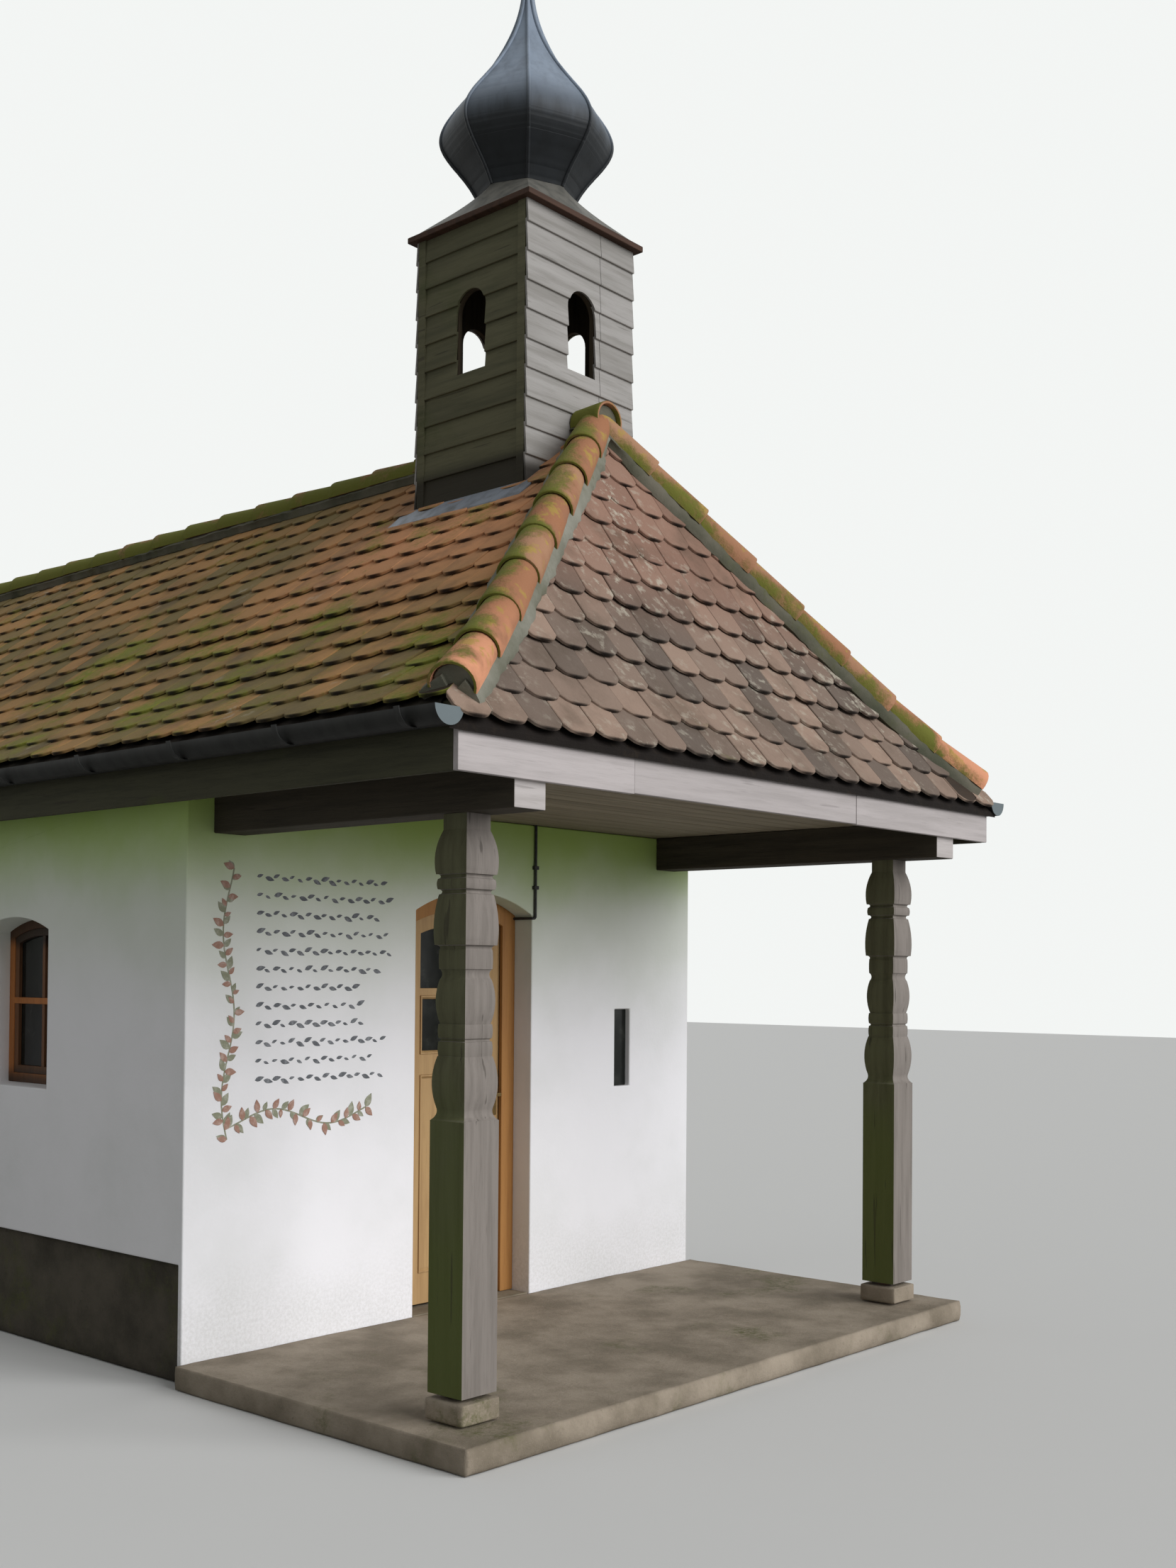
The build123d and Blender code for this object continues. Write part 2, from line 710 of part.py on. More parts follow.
# Cable down the wall, round the corner of the reveal and into the head of the frame
cable_x = door_right + CABLE_FROM_REVEAL
cable_y = wall_front - CABLE_STANDOFF
reveal_x = door_right - CABLE_STANDOFF
with BuildPart() as door_cable:
    with BuildLine() as cable_route:
        FilletPolyline(
            (cable_x, cable_y, WALL_TOP),
            (cable_x, cable_y, CABLE_TURN),
            (reveal_x, cable_y, CABLE_TURN),
            (reveal_x, frame_y, CABLE_TURN),
            radius=CABLE_BEND,
        )
    with BuildSketch(Plane(origin=(cable_x, cable_y, WALL_TOP), z_dir=(0, 0, -1))):
        Circle(CABLE_RADIUS)
    sweep(path=cable_route.line)
    clip_width, clip_depth, clip_height = CABLE_CLIP
    for clip_z in CABLE_CLIPS:
        slab(
            (cable_x - clip_width / 2, cable_x + clip_width / 2),
            (wall_front - clip_depth, wall_front),
            (clip_z - clip_height / 2, clip_z + clip_height / 2),
        )
door_cable.part.label = "door_cable"
export_step(door_cable.part, "parts/door_cable.step")

# Lever handles on both faces, on the stile away from the hinges
lock_x = DOOR_CENTRE + DOOR_WIDTH / 2 - leaf_inset - LEAF_STILE / 2
with BuildPart() as door_handle:
    plate_width, plate_height, plate_sheet = LOCK_PLATE
    for face_y, outward in ((leaf_y, -1), (frame_back, 1)):
        slab(
            (lock_x - plate_width / 2, lock_x + plate_width / 2),
            span(face_y, face_y + outward * plate_sheet),
            (LOCK_HEIGHT - plate_height / 2, LOCK_HEIGHT + plate_height / 2),
        )
        with BuildSketch(front_plane(face_y + outward * plate_sheet)) as neck:
            with Locations((lock_x, LOCK_HEIGHT)):
                Circle(LEVER_NECK_RADIUS)
        extrude(neck.sketch, amount=-outward * LEVER_REACH)
        bar_y = face_y + outward * (plate_sheet + LEVER_REACH)
        slab(
            (lock_x - LEVER_LENGTH, lock_x + LEVER_NECK_RADIUS),
            span(bar_y, bar_y - outward * LEVER_BAR[0]),
            (LOCK_HEIGHT - LEVER_BAR[1] / 2, LOCK_HEIGHT + LEVER_BAR[1] / 2),
        )
door_handle.part.label = "door_handle"
export_step(door_handle.part, "parts/door_handle.step")

# Lift-off hinges behind the frame: a knuckle with its pin on the frame, a bored knuckle on the leaf
leaf_left = DOOR_CENTRE - DOOR_WIDTH / 2 + leaf_inset
hinge_x = leaf_left - DOOR_GAP / 2
hinge_y = frame_back + HINGE_RADIUS
with BuildPart() as hinge_pins:
    for hinge_z in HINGE_HEIGHTS:
        with BuildSketch(Plane.XY.offset(hinge_z - HINGE_KNUCKLE)) as knuckle:
            with Locations((hinge_x, hinge_y)):
                Circle(HINGE_RADIUS)
        extrude(knuckle.sketch, amount=HINGE_KNUCKLE)
        with BuildSketch(Plane.XY.offset(hinge_z)) as pin:
            with Locations((hinge_x, hinge_y)):
                Circle(HINGE_PIN_RADIUS)
        extrude(pin.sketch, amount=HINGE_KNUCKLE)
        slab(
            (hinge_x - HINGE_LEAF_WIDTH, hinge_x),
            (frame_back, frame_back + HINGE_LEAF),
            (hinge_z - HINGE_KNUCKLE, hinge_z),
        )
hinge_pins.part.label = "door_hinge_pins"
export_step(hinge_pins.part, "parts/door_hinge_pins.step")

with BuildPart() as hinge_eyes:
    for hinge_z in HINGE_HEIGHTS:
        eye_foot = hinge_z + HINGE_PIN_CLEARANCE
        with BuildSketch(Plane.XY.offset(eye_foot)) as eye:
            with Locations((hinge_x, hinge_y)):
                Circle(HINGE_RADIUS)
        extrude(eye.sketch, amount=HINGE_KNUCKLE)
        slab(
            (hinge_x, leaf_left + HINGE_LEAF_WIDTH),
            (frame_back, frame_back + HINGE_LEAF),
            (eye_foot, eye_foot + HINGE_KNUCKLE),
        )
        with BuildSketch(Plane.XY.offset(eye_foot)) as bore:
            with Locations((hinge_x, hinge_y)):
                Circle(HINGE_PIN_RADIUS + HINGE_PIN_CLEARANCE)
        extrude(bore.sketch, amount=HINGE_KNUCKLE, mode=Mode.SUBTRACT)
hinge_eyes.part.label = "door_hinge_eyes"
export_step(hinge_eyes.part, "parts/door_hinge_eyes.step")


# Turret: four boarded walls that stand on the roof slopes, each with a round-headed opening
opening_radius = TURRET_OPENING / 2
turret_x = (-turret_half, turret_half)
turret_y = (turret_front, turret_rear)
turret_z = (EAVES_HEIGHT, TURRET_TOP)
inner_half = turret_half - TURRET_WALL


def turret_opening(plane):
    """Round-headed opening outline in plane."""
    return arched(
        plane, TURRET_OPENING, TURRET_OPENING_FOOT, TURRET_OPENING_SPRING, opening_radius
    )


for wall_name, wall_y in (
    ("turret_front", turret_front),
    ("turret_rear", turret_rear - TURRET_WALL),
):
    with BuildPart() as turret_wall:
        slab(turret_x, (wall_y, wall_y + TURRET_WALL), turret_z)
        extrude(turret_opening(front_plane(wall_y)), amount=-TURRET_WALL, mode=Mode.SUBTRACT)
        add(solid_form, mode=Mode.SUBTRACT)
    turret_wall.part.label = wall_name
    export_step(turret_wall.part, f"parts/{wall_name}.step")

with BuildPart() as turret_sides:
    for _, side in SIDES:
        slab(
            span(side * inner_half, side * turret_half),
            (turret_front + TURRET_WALL, turret_rear - TURRET_WALL),
            turret_z,
        )
        side_opening = turret_opening(side_plane(side * turret_half, turret_centre))
        extrude(side_opening, amount=-side * TURRET_WALL, mode=Mode.SUBTRACT)
    add(solid_form, mode=Mode.SUBTRACT)
turret_sides.part.label = "turret_sides"
export_step(turret_sides.part, "parts/turret_sides.step")

flashing_form = under_roof(-FLASHING_PLUMB, FASCIA_FOOT)
with BuildPart() as turret_flashing:
    for _, side in SIDES:
        slab(
            span(side * turret_half, side * (turret_half + FLASHING_WIDTH)),
            (turret_front - FLASHING_END, turret_rear + FLASHING_END),
            turret_z,
        )
    add(flashing_form, mode=Mode.INTERSECT)
    add(solid_form, mode=Mode.SUBTRACT)
turret_flashing.part.label = "turret_flashing"
export_step(turret_flashing.part, "parts/turret_flashing.step")

cornice_half = turret_half + CORNICE_OVERHANG
cornice_top = TURRET_TOP + CORNICE_THICKNESS
with BuildPart() as turret_cornice:
    slab(
        (-cornice_half, cornice_half),
        (turret_centre - cornice_half, turret_centre + cornice_half),
        (TURRET_TOP, cornice_top),
    )
turret_cornice.part.label = "turret_cornice"
export_step(turret_cornice.part, "parts/turret_cornice.step")


# Dome: eight sheets meeting in ribs over the corners and over the middle of each side. Each
# pair of opposite sheets is one onion profile run straight through; the four together cut the form.
DOME_SIDES = 8
RIB_TO_SHEET = cos(pi / DOME_SIDES)


def dome_profile(angle):
    """Onion outline on an upright plane turned by angle, in degrees."""
    across = (cos(radians(angle)), sin(radians(angle)), 0)
    through = (sin(radians(angle)), -cos(radians(angle)), 0)
    plane = Plane(origin=(0, turret_centre, 0), x_dir=across, z_dir=through)
    heights = ((NECK_RADIUS, 0), *DOME_CURVE, (DOME_TIP_RADIUS, DOME_TIP))
    right = [(radius * RIB_TO_SHEET, NECK_HEIGHT + z) for radius, z in heights]
    left = [(-x, z) for x, z in right]
    with BuildSketch(plane) as outline:
        with BuildLine():
            Spline(*right)
            Line(right[-1], left[-1])
            Spline(*left)
            Line(left[0], right[0])
        make_face()
    return outline.sketch


dome_reach = 2 * TURRET_SIDE
with BuildPart() as onion_dome:
    for pair in range(DOME_SIDES // 2):
        extrude(
            dome_profile(360 / DOME_SIDES * (pair + 0.5)),
            amount=dome_reach,
            both=True,
            mode=Mode.INTERSECT if pair else Mode.ADD,
        )
onion_dome.part.label = "onion_dome"
export_step(onion_dome.part, "parts/onion_dome.step")

# Skirt roof between the cornice and the neck of the dome
skirt_half = cornice_half - SKIRT_INSET
with BuildPart() as dome_skirt:
    with BuildSketch(Plane(origin=(0, turret_centre, cornice_top))) as skirt_foot:
        Polygon(
            (skirt_half, 0),
            (skirt_half, skirt_half),
            (0, skirt_half),
            (-skirt_half, skirt_half),
            (-skirt_half, 0),
            (-skirt_half, -skirt_half),
            (0, -skirt_half),
            (skirt_half, -skirt_half),
            align=None,
        )
    with BuildSketch(Plane(origin=(0, turret_centre, NECK_HEIGHT))) as skirt_head:
        RegularPolygon(NECK_RADIUS, DOME_SIDES)
    loft(sections=[skirt_foot.sketch, skirt_head.sketch], ruled=True)
dome_skirt.part.label = "dome_skirt"
export_step(dome_skirt.part, "parts/dome_skirt.step")

# Finial: rod, ball and plain cross
tip_height = NECK_HEIGHT + DOME_TIP
ball_height = tip_height + BALL_ABOVE_TIP
with BuildPart() as finial_ball:
    with BuildSketch(Plane(origin=(0, turret_centre, tip_height))) as rod:
        Circle(ROD_RADIUS)
    extrude(rod.sketch, amount=BALL_ABOVE_TIP)
    with Locations((0, turret_centre, ball_height)):
        Sphere(BALL_RADIUS)
finial_ball.part.label = "finial_ball"
export_step(finial_ball.part, "parts/finial_ball.step")

cross_foot = ball_height + BALL_RADIUS
arm_z = cross_foot + CROSS_HEIGHT - CROSS_ARM_DROP
bar_half = CROSS_BAR / 2
with BuildPart() as cross:
    slab(
        (-bar_half, bar_half),
        (turret_centre - bar_half, turret_centre + bar_half),
        (cross_foot - CROSS_BAR / 2, cross_foot + CROSS_HEIGHT),
    )
    slab(
        (-CROSS_SPAN / 2, CROSS_SPAN / 2),
        (turret_centre - bar_half, turret_centre + bar_half),
        (arm_z - bar_half, arm_z + bar_half),
    )
    with Locations((0, turret_centre, ball_height)):
        Sphere(BALL_RADIUS, mode=Mode.SUBTRACT)
cross.part.label = "cross"
export_step(cross.part, "parts/cross.step")
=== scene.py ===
"""Looks of the small chapel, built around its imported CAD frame.

Lengths are metres. The front with the porch faces -Y, +X is to the right of it, and the origin
is on the ground under the middle of the main roof.
"""

from __future__ import annotations

import logging
import math
import random
from dataclasses import dataclass, field
from enum import Enum
from typing import Iterable, Iterator, Sequence, Union

import bmesh
import bpy
from mathutils import Matrix, Vector, noise


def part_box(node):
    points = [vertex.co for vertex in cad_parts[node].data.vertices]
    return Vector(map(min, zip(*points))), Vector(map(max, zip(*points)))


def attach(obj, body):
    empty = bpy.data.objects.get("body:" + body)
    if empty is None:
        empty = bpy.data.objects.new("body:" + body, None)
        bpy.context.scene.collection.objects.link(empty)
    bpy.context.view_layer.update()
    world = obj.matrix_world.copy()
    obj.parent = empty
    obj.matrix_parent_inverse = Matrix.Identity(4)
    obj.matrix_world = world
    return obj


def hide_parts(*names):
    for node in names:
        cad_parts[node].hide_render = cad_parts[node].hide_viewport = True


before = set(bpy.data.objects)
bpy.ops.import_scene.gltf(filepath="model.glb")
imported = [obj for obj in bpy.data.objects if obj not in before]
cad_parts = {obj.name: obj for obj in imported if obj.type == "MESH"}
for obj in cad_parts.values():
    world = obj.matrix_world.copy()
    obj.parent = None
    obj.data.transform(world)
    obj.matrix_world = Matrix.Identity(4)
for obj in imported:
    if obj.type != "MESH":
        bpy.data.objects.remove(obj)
NODES: dict[str, bpy.types.Object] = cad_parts
LOG = logging.getLogger("chapel")
BUILDING = "building"
DOOR = "door"
WELD = 2e-5

Colour = tuple[float, float, float]
Point = tuple[float, float, float]
Box = tuple[float, float, float, float]
Form = bmesh.types.BMesh
Ring = list[bmesh.types.BMVert]
Finish = bpy.types.Material
Mesh = bpy.types.Mesh
Thing = bpy.types.Object
Socket = bpy.types.NodeSocket
Axes = tuple[Socket, Socket, Socket]
Value = Union[Socket, float, Sequence[float]]


def linear(channel: int) -> float:
    """Linear value of a display channel from 0 to 255."""
    share = channel / 255
    return share / 12.92 if share <= 0.04045 else ((share + 0.055) / 1.055) ** 2.4


def paint(red: int, green: int, blue: int) -> Colour:
    """Turn a display colour into the linear values that shaders take."""
    return (linear(red), linear(green), linear(blue))


class Sums:
    """Sums on the values of a node tree, for shaders and patterns alike."""

    tree: bpy.types.NodeTree

    def put(self, socket: Socket, value: Value) -> None:
        """Link value into socket, or set it as the socket's own value.

        Args:
            socket: Input that gets it.
            value: Output to link, number or colour.
        """
        if isinstance(value, bpy.types.NodeSocket):
            self.tree.links.new(value, socket)
        elif socket.type == "RGBA" and not isinstance(value, float):
            socket.default_value = (*value[:3], 1.0)
        else:
            socket.default_value = value

    def calc(self, operation: str, first: Value, second: Value = 0.0) -> Socket:
        """Work out a math node on one or two values.

        Args:
            operation: Blender's name of the sum.
            first: First value.
            second: Second value, where the sum takes one.

        Returns:
            The node's result.
        """
        node = self.tree.nodes.new("ShaderNodeMath")
        node.operation = operation
        self.put(node.inputs[0], first)
        self.put(node.inputs[1], second)
        return node.outputs[0]

    def plus(self, first: Value, second: Value) -> Socket:
        """Sum of two values."""
        return self.calc("ADD", first, second)

    def less(self, first: Value, second: Value) -> Socket:
        """First value less the second."""
        return self.calc("SUBTRACT", first, second)

    def times(self, first: Value, second: Value) -> Socket:
        """Product of two values."""
        return self.calc("MULTIPLY", first, second)

    def axes(self, source: Socket) -> tuple[Socket, Socket, Socket]:
        """The x, y and z of a vector."""
        node = self.tree.nodes.new("ShaderNodeSeparateXYZ")
        self.put(node.inputs[0], source)
        return (node.outputs[0], node.outputs[1], node.outputs[2])


class ShaderGraph(Sums):
    """A material's node tree, with short calls for the nodes that the finishes share."""

    def __init__(self, name: str) -> None:
        """Start a material around one principled shader.

        Args:
            name: Name of the material.
        """
        self.material = bpy.data.materials.new(name)
        self.material.use_nodes = True
        self.tree = self.material.node_tree
        self.surface = self.tree.nodes["Principled BSDF"]
        self.place: Socket = self.tree.nodes.new("ShaderNodeTexCoord").outputs["Object"]

    def scaled(self, stretch: Point) -> Socket:
        """Stretch the object's coordinates.

        Args:
            stretch: Factor along each axis.

        Returns:
            The stretched coordinates.
        """
        node = self.tree.nodes.new("ShaderNodeMapping")
        self.put(node.inputs["Vector"], self.place)
        node.inputs["Scale"].default_value = stretch
        return node.outputs["Vector"]

    def noise(
        self, scale: float, detail: float = 4.0, roughness: float = 0.55, source: Socket | None = None
    ) -> Socket:
        """Cloudy noise.

        Args:
            scale: Features to a metre.
            detail: Layers of finer noise.
            roughness: Strength of the finer layers.
            source: Coordinates, or None for the object's own.

        Returns:
            A value from 0 to 1.
        """
        node = self.tree.nodes.new("ShaderNodeTexNoise")
        self.put(node.inputs["Vector"], source or self.place)
        for name, value in (("Scale", scale), ("Detail", detail), ("Roughness", roughness)):
            node.inputs[name].default_value = value
        return node.outputs["Fac"]

    def cells(self, scale: float) -> Socket:
        """Distance to the nearest of scattered points.

        Args:
            scale: Points to a metre.

        Returns:
            The distance.
        """
        node = self.tree.nodes.new("ShaderNodeTexVoronoi")
        self.put(node.inputs["Vector"], self.place)
        node.inputs["Scale"].default_value = scale
        return node.outputs["Distance"]

    def band(self, source: Socket, low: float, high: float) -> Socket:
        """Ease a value from 0 to 1 between two ends.

        Args:
            source: Value that is eased.
            low: Where the result is 0.
            high: Where it is 1, below low for a fall.

        Returns:
            The eased value.
        """
        node = self.tree.nodes.new("ShaderNodeMapRange")
        node.interpolation_type = "SMOOTHSTEP"
        self.put(node.inputs["Value"], source)
        fall = low > high
        ends = (high, low, 1.0, 0.0) if fall else (low, high, 0.0, 1.0)
        for name, value in zip(("From Min", "From Max", "To Min", "To Max"), ends):
            node.inputs[name].default_value = value
        return node.outputs["Result"]

    def mix(
        self, amount: Value, first: Value, second: Value, share: float = 1.0, mode: str = "MIX"
    ) -> Socket:
        """Blend two colours.

        Args:
            amount: How much of the second shows.
            first: Colour where amount is 0.
            second: Colour where amount is 1.
            share: Factor on amount.
            mode: Way of blending.

        Returns:
            The blend.
        """
        node = self.tree.nodes.new("ShaderNodeMix")
        node.data_type, node.blend_type = "RGBA", mode
        self.put(node.inputs["Factor"], amount if share == 1.0 else self.times(amount, share))
        self.put(node.inputs[6], first)
        self.put(node.inputs[7], second)
        return node.outputs[2]

    def places(self) -> tuple[Socket, Socket, Socket]:
        """The x, y and z of the object's own coordinates."""
        return self.axes(self.place)

    def facing(self) -> tuple[Socket, Socket, Socket]:
        """The x, y and z of the surface's own direction, from -1 to 1."""
        return self.axes(self.tree.nodes.new("ShaderNodeNewGeometry").outputs["Normal"])

    def tone(self) -> Socket:
        """How dark a board or tile is, from 0 to 1, as its mesh stores it."""
        node = self.tree.nodes.new("ShaderNodeAttribute")
        node.attribute_name = "tone"
        return node.outputs["Fac"]

    def along(self) -> Socket:
        """Share along a tile from its tail, by its own UV map."""
        return self.axes(self.tree.nodes.new("ShaderNodeTexCoord").outputs["UV"])[1]

    def relief(self, height: Socket, depth: float, strength: float = 1.0) -> None:
        """Bump the surface.

        Args:
            height: Height from 0 to 1.
            depth: Metres from 0 to 1.
            strength: Strength of the bump.
        """
        node = self.tree.nodes.new("ShaderNodeBump")
        node.inputs["Strength"].default_value = strength
        node.inputs["Distance"].default_value = depth
        self.put(node.inputs["Height"], height)
        self.put(self.surface.inputs["Normal"], node.outputs["Normal"])

    def coat(self, colour: Value, roughness: Value, **others: float) -> Finish:
        """Finish the material.

        Args:
            colour: Base colour.
            roughness: Roughness from 0 to 1.
            **others: Values of plain sockets, named with _ for a space.

        Returns:
            The material.
        """
        self.put(self.surface.inputs["Base Color"], colour)
        self.put(self.surface.inputs["Roughness"], roughness)
        for name, value in others.items():
            self.surface.inputs[name.replace("_", " ")].default_value = value
        return self.material


@dataclass(frozen=True)
class LimePlaster:
    """White lime plaster with painted shade and painted green bounce light under the eaves, splashed near the
    ground.
    """

    white: Colour = paint(240, 239, 242)
    grey: Colour = paint(230, 230, 231)
    # Vivid green of the painted bounce light and greyish green of the painted shade, under the soffit.
    painted_bounce_green: Colour = paint(162, 190, 92)
    painted_soffit_shade: Colour = paint(200, 212, 182)
    dirt: Colour = paint(176, 174, 168)
    soffit: float = 2.445
    splash: float = 0.40

    def build(self) -> Finish:
        """Make the material.

        Returns:
            The material.
        """
        graph = ShaderGraph("lime_plaster")
        _, _, height = graph.places()
        cloud, fine, trowel = graph.noise(1.6, 5.0), graph.noise(70.0, 5.0, 0.7), graph.noise(9.0, 3.0)
        colour = graph.mix(graph.band(cloud, 0.35, 0.75), self.white, self.grey)
        # Painted shade and painted green bounce light: a wide greyish-green band and a narrow vivid green
        # band below the soffit.
        climb = graph.plus(height, graph.times(cloud, 0.30))
        wide = graph.band(climb, self.soffit - 0.95, self.soffit + 0.10)
        colour = graph.mix(wide, colour, self.painted_soffit_shade, 0.75)
        narrow = graph.band(climb, self.soffit - 0.34, self.soffit + 0.14)
        colour = graph.mix(narrow, colour, self.painted_bounce_green, 0.92)
        low = graph.less(height, graph.times(cloud, 0.3))
        foot = graph.times(graph.band(low, self.splash, 0.0), graph.band(fine, 0.35, 0.65))
        colour = graph.mix(foot, colour, self.dirt, 0.25)
        graph.relief(graph.plus(graph.times(trowel, 0.7), graph.times(fine, 0.3)), 0.005, 0.5)
        return graph.coat(colour, graph.band(fine, -1.2, 0.9), Specular_IOR_Level=0.2)


@dataclass(frozen=True)
class RoofClay:
    """Clay roof tiles that differ from one to the next, with moss and lichen."""

    name: str
    pale: Colour
    deep: Colour
    fresh: Colour
    soot_and_shade: Colour = paint(78, 66, 54)
    moss: Colour = paint(148, 148, 60)
    dark_moss: Colour = paint(86, 94, 38)
    lichen: Colour = paint(184, 178, 162)
    # Colour multiplied into each tile's tail: painted shade of the shadow line between courses.
    edge: Colour = paint(60, 50, 42)
    moss_share: float = 0.5
    lichen_share: float = 0.4
    damp: tuple[float, float] = (3.9, 2.7)

    def build(self) -> Finish:
        """Make the material.

        Returns:
            The material.
        """
        graph = ShaderGraph(self.name)
        tone, along = graph.tone(), graph.along()
        _, length, height = graph.places()
        fine = graph.noise(46.0, 5.0, 0.7)
        colour = graph.mix(graph.band(tone, 0.0, 1.0), self.deep, self.pale)
        near_turret = graph.times(graph.band(length, -0.9, -2.1), graph.band(height, 3.0, 3.6))
        colour = graph.mix(near_turret, colour, self.fresh, 0.75)
        colour = graph.mix(graph.band(graph.noise(3.2, 5.0, 0.6), 0.45, 0.75), colour, self.soot_and_shade, 0.6)
        speck = graph.times(
            graph.band(graph.noise(17.0, 4.0, 0.65), 0.52, 0.66),
            graph.band(graph.noise(2.1, 3.0), 0.62 - 0.3 * self.lichen_share, 0.74),
        )
        colour = graph.mix(speck, colour, self.lichen, 0.8)
        place = graph.times(graph.noise(1.7, 5.0, 0.7), 1.15)
        lower = graph.times(graph.band(height, *self.damp), 0.10)
        butt = graph.times(graph.band(along, 0.45, 0.0), 0.07)
        cover = graph.plus(graph.plus(place, butt), graph.plus(lower, graph.times(tone, 0.09)))
        cover = graph.plus(cover, graph.times(fine, 0.30))
        start = 1.12 - 0.34 * self.moss_share
        growth = graph.band(cover, start, start + 0.24)
        colour = graph.mix(growth, colour, graph.mix(fine, self.moss, self.dark_moss))
        # Painted shade: the tail of each tile darkened for the shadow line between courses.
        colour = graph.mix(graph.band(along, 0.08, 0.0), colour, self.edge, mode="MULTIPLY")
        graph.relief(graph.plus(fine, graph.times(growth, 0.8)), 0.005, 0.8)
        return graph.coat(colour, 0.9, Specular_IOR_Level=0.25)


@dataclass(frozen=True)
class HipClay:
    """Round hip tiles: bare orange clay on one side, moss and yellow lichen on the other."""

    clay: Colour = paint(152, 104, 74)
    pale: Colour = paint(164, 126, 98)
    fresh: Colour = paint(214, 150, 116)
    burnt: Colour = paint(148, 104, 78)
    moss: Colour = paint(104, 106, 42)
    lichen: Colour = paint(162, 140, 66)

    def build(self) -> Finish:
        """Make the material.

        Returns:
            The material.
        """
        graph = ShaderGraph("hip_clay")
        side, _, up = graph.facing()
        _, _, height = graph.places()
        cloud, fine = graph.noise(5.0, 4.0), graph.noise(60.0, 5.0, 0.7)
        worn = graph.mix(graph.tone(), self.clay, self.pale)
        colour = graph.mix(graph.band(height, 3.15, 2.65), worn, self.fresh)
        colour = graph.mix(graph.band(cloud, 0.45, 0.7), colour, self.burnt)
        spots = graph.times(graph.band(graph.noise(14.0, 4.0), 0.52, 0.62), graph.band(up, -0.2, 0.4))
        colour = graph.mix(spots, colour, self.lichen, 0.7)
        shade = graph.plus(graph.times(side, -0.38), cloud)
        growth = graph.band(graph.plus(shade, graph.times(fine, 0.3)), 0.69, 0.95)
        colour = graph.mix(growth, colour, self.moss)
        graph.relief(graph.plus(fine, growth), 0.004, 0.8)
        return graph.coat(colour, 0.88, Specular_IOR_Level=0.25)


@dataclass(frozen=True)
class Mortar:
    """Pale lumpy mortar, render or concrete."""

    name: str
    pale: Colour
    dark: Colour
    grain: float = 55.0
    lumps: float = 0.006
    moss_share: float = 0.0
    moss: Colour = paint(84, 88, 46)

    def build(self) -> Finish:
        """Make the material.

        Returns:
            The material.
        """
        graph = ShaderGraph(self.name)
        cloud, fine = graph.noise(3.4, 5.0, 0.6), graph.noise(self.grain, 6.0, 0.75)
        colour = graph.mix(graph.band(cloud, 0.3, 0.7), self.pale, self.dark)
        colour = graph.mix(graph.band(fine, 0.58, 0.75), colour, self.dark)
        colour = graph.mix(graph.band(graph.cells(self.grain * 1.7), 0.26, 0.05), colour, self.pale, 0.35)
        if self.moss_share:
            damp = graph.band(graph.noise(2.3, 5.0, 0.65), 0.62 - 0.2 * self.moss_share, 0.72)
            growth = graph.times(damp, graph.band(fine, 0.35, 0.6))
            colour = graph.mix(growth, colour, self.moss, 0.75)
        graph.relief(fine, self.lumps, 0.8)
        return graph.coat(colour, 0.92, Specular_IOR_Level=0.2)


class Grain(Enum):
    """Axis that the wood's grain runs along, as the stretch of its pattern."""

    X = (0.06, 1.0, 1.0)
    Y = (1.0, 0.06, 1.0)
    Z = (1.0, 1.0, 0.06)


@dataclass(frozen=True)
class Timber:
    """Bare or stained wood with long grain, cracks, moss on the sides turned from the sun, and painted shade
    near black below and above a span of height where one is given.
    """

    name: str
    grain: Grain
    pale: Colour
    dark: Colour
    shady: Colour | None = None
    deep_shade: Colour = paint(78, 76, 56)
    moss: Colour = paint(72, 80, 36)
    crack: Colour = paint(48, 42, 36)
    # Near-black colour of the painted shade outside the unshaded span.
    grime_and_shade: Colour = paint(32, 27, 21)
    moss_share: float = 0.0
    cracks: float = 0.6
    gloss: float = 0.2
    roughness: float = 0.8
    # Span of height outside which the wood gets painted shade.
    unshaded_span: tuple[float, float] | None = None

    def build(self) -> Finish:
        """Make the material.

        Returns:
            The material.
        """
        graph = ShaderGraph(self.name)
        long = graph.scaled(self.grain.value)
        strands = graph.noise(120.0, 5.0, 0.65, long)
        streaks = graph.noise(26.0, 4.0, 0.6, long)
        cloud = graph.noise(3.0, 4.0)
        _, _, height = graph.places()
        colour = graph.mix(graph.band(streaks, 0.35, 0.75), self.pale, self.dark, 0.6)
        colour = graph.mix(graph.band(strands, 0.5, 0.78), colour, self.dark, 0.5)
        colour = graph.mix(graph.tone(), colour, self.dark, 0.35)
        if self.shady:
            aside, _, _ = graph.facing()
            turned = graph.band(graph.times(aside, -1.0), 0.35, 0.7)
            behind = graph.mix(graph.band(streaks, 0.3, 0.8), self.shady, self.deep_shade)
            green = graph.band(graph.plus(height, cloud), 2.1, 1.1)
            colour = graph.mix(turned, colour, graph.mix(green, behind, self.moss, 0.7))
        if self.moss_share:
            damp = graph.band(cloud, 0.72 - 0.35 * self.moss_share, 0.78)
            colour = graph.mix(graph.times(damp, graph.band(strands, 0.25, 0.55)), colour, self.moss, 0.6)
        splits = graph.band(graph.noise(40.0, 2.0, 0.5, long), 0.33, 0.28)
        colour = graph.mix(graph.times(splits, self.cracks), colour, self.crack)
        # Painted shade: near black below the span's foot and above its top.
        if self.unshaded_span:
            low, high = self.unshaded_span
            ends = graph.plus(graph.band(height, low, low - 0.08), graph.band(height, high, high + 0.06))
            colour = graph.mix(ends, colour, self.grime_and_shade, 0.88)
        graph.relief(graph.less(strands, graph.times(splits, self.cracks)), 0.002, 0.6)
        return graph.coat(colour, self.roughness, Specular_IOR_Level=self.gloss)


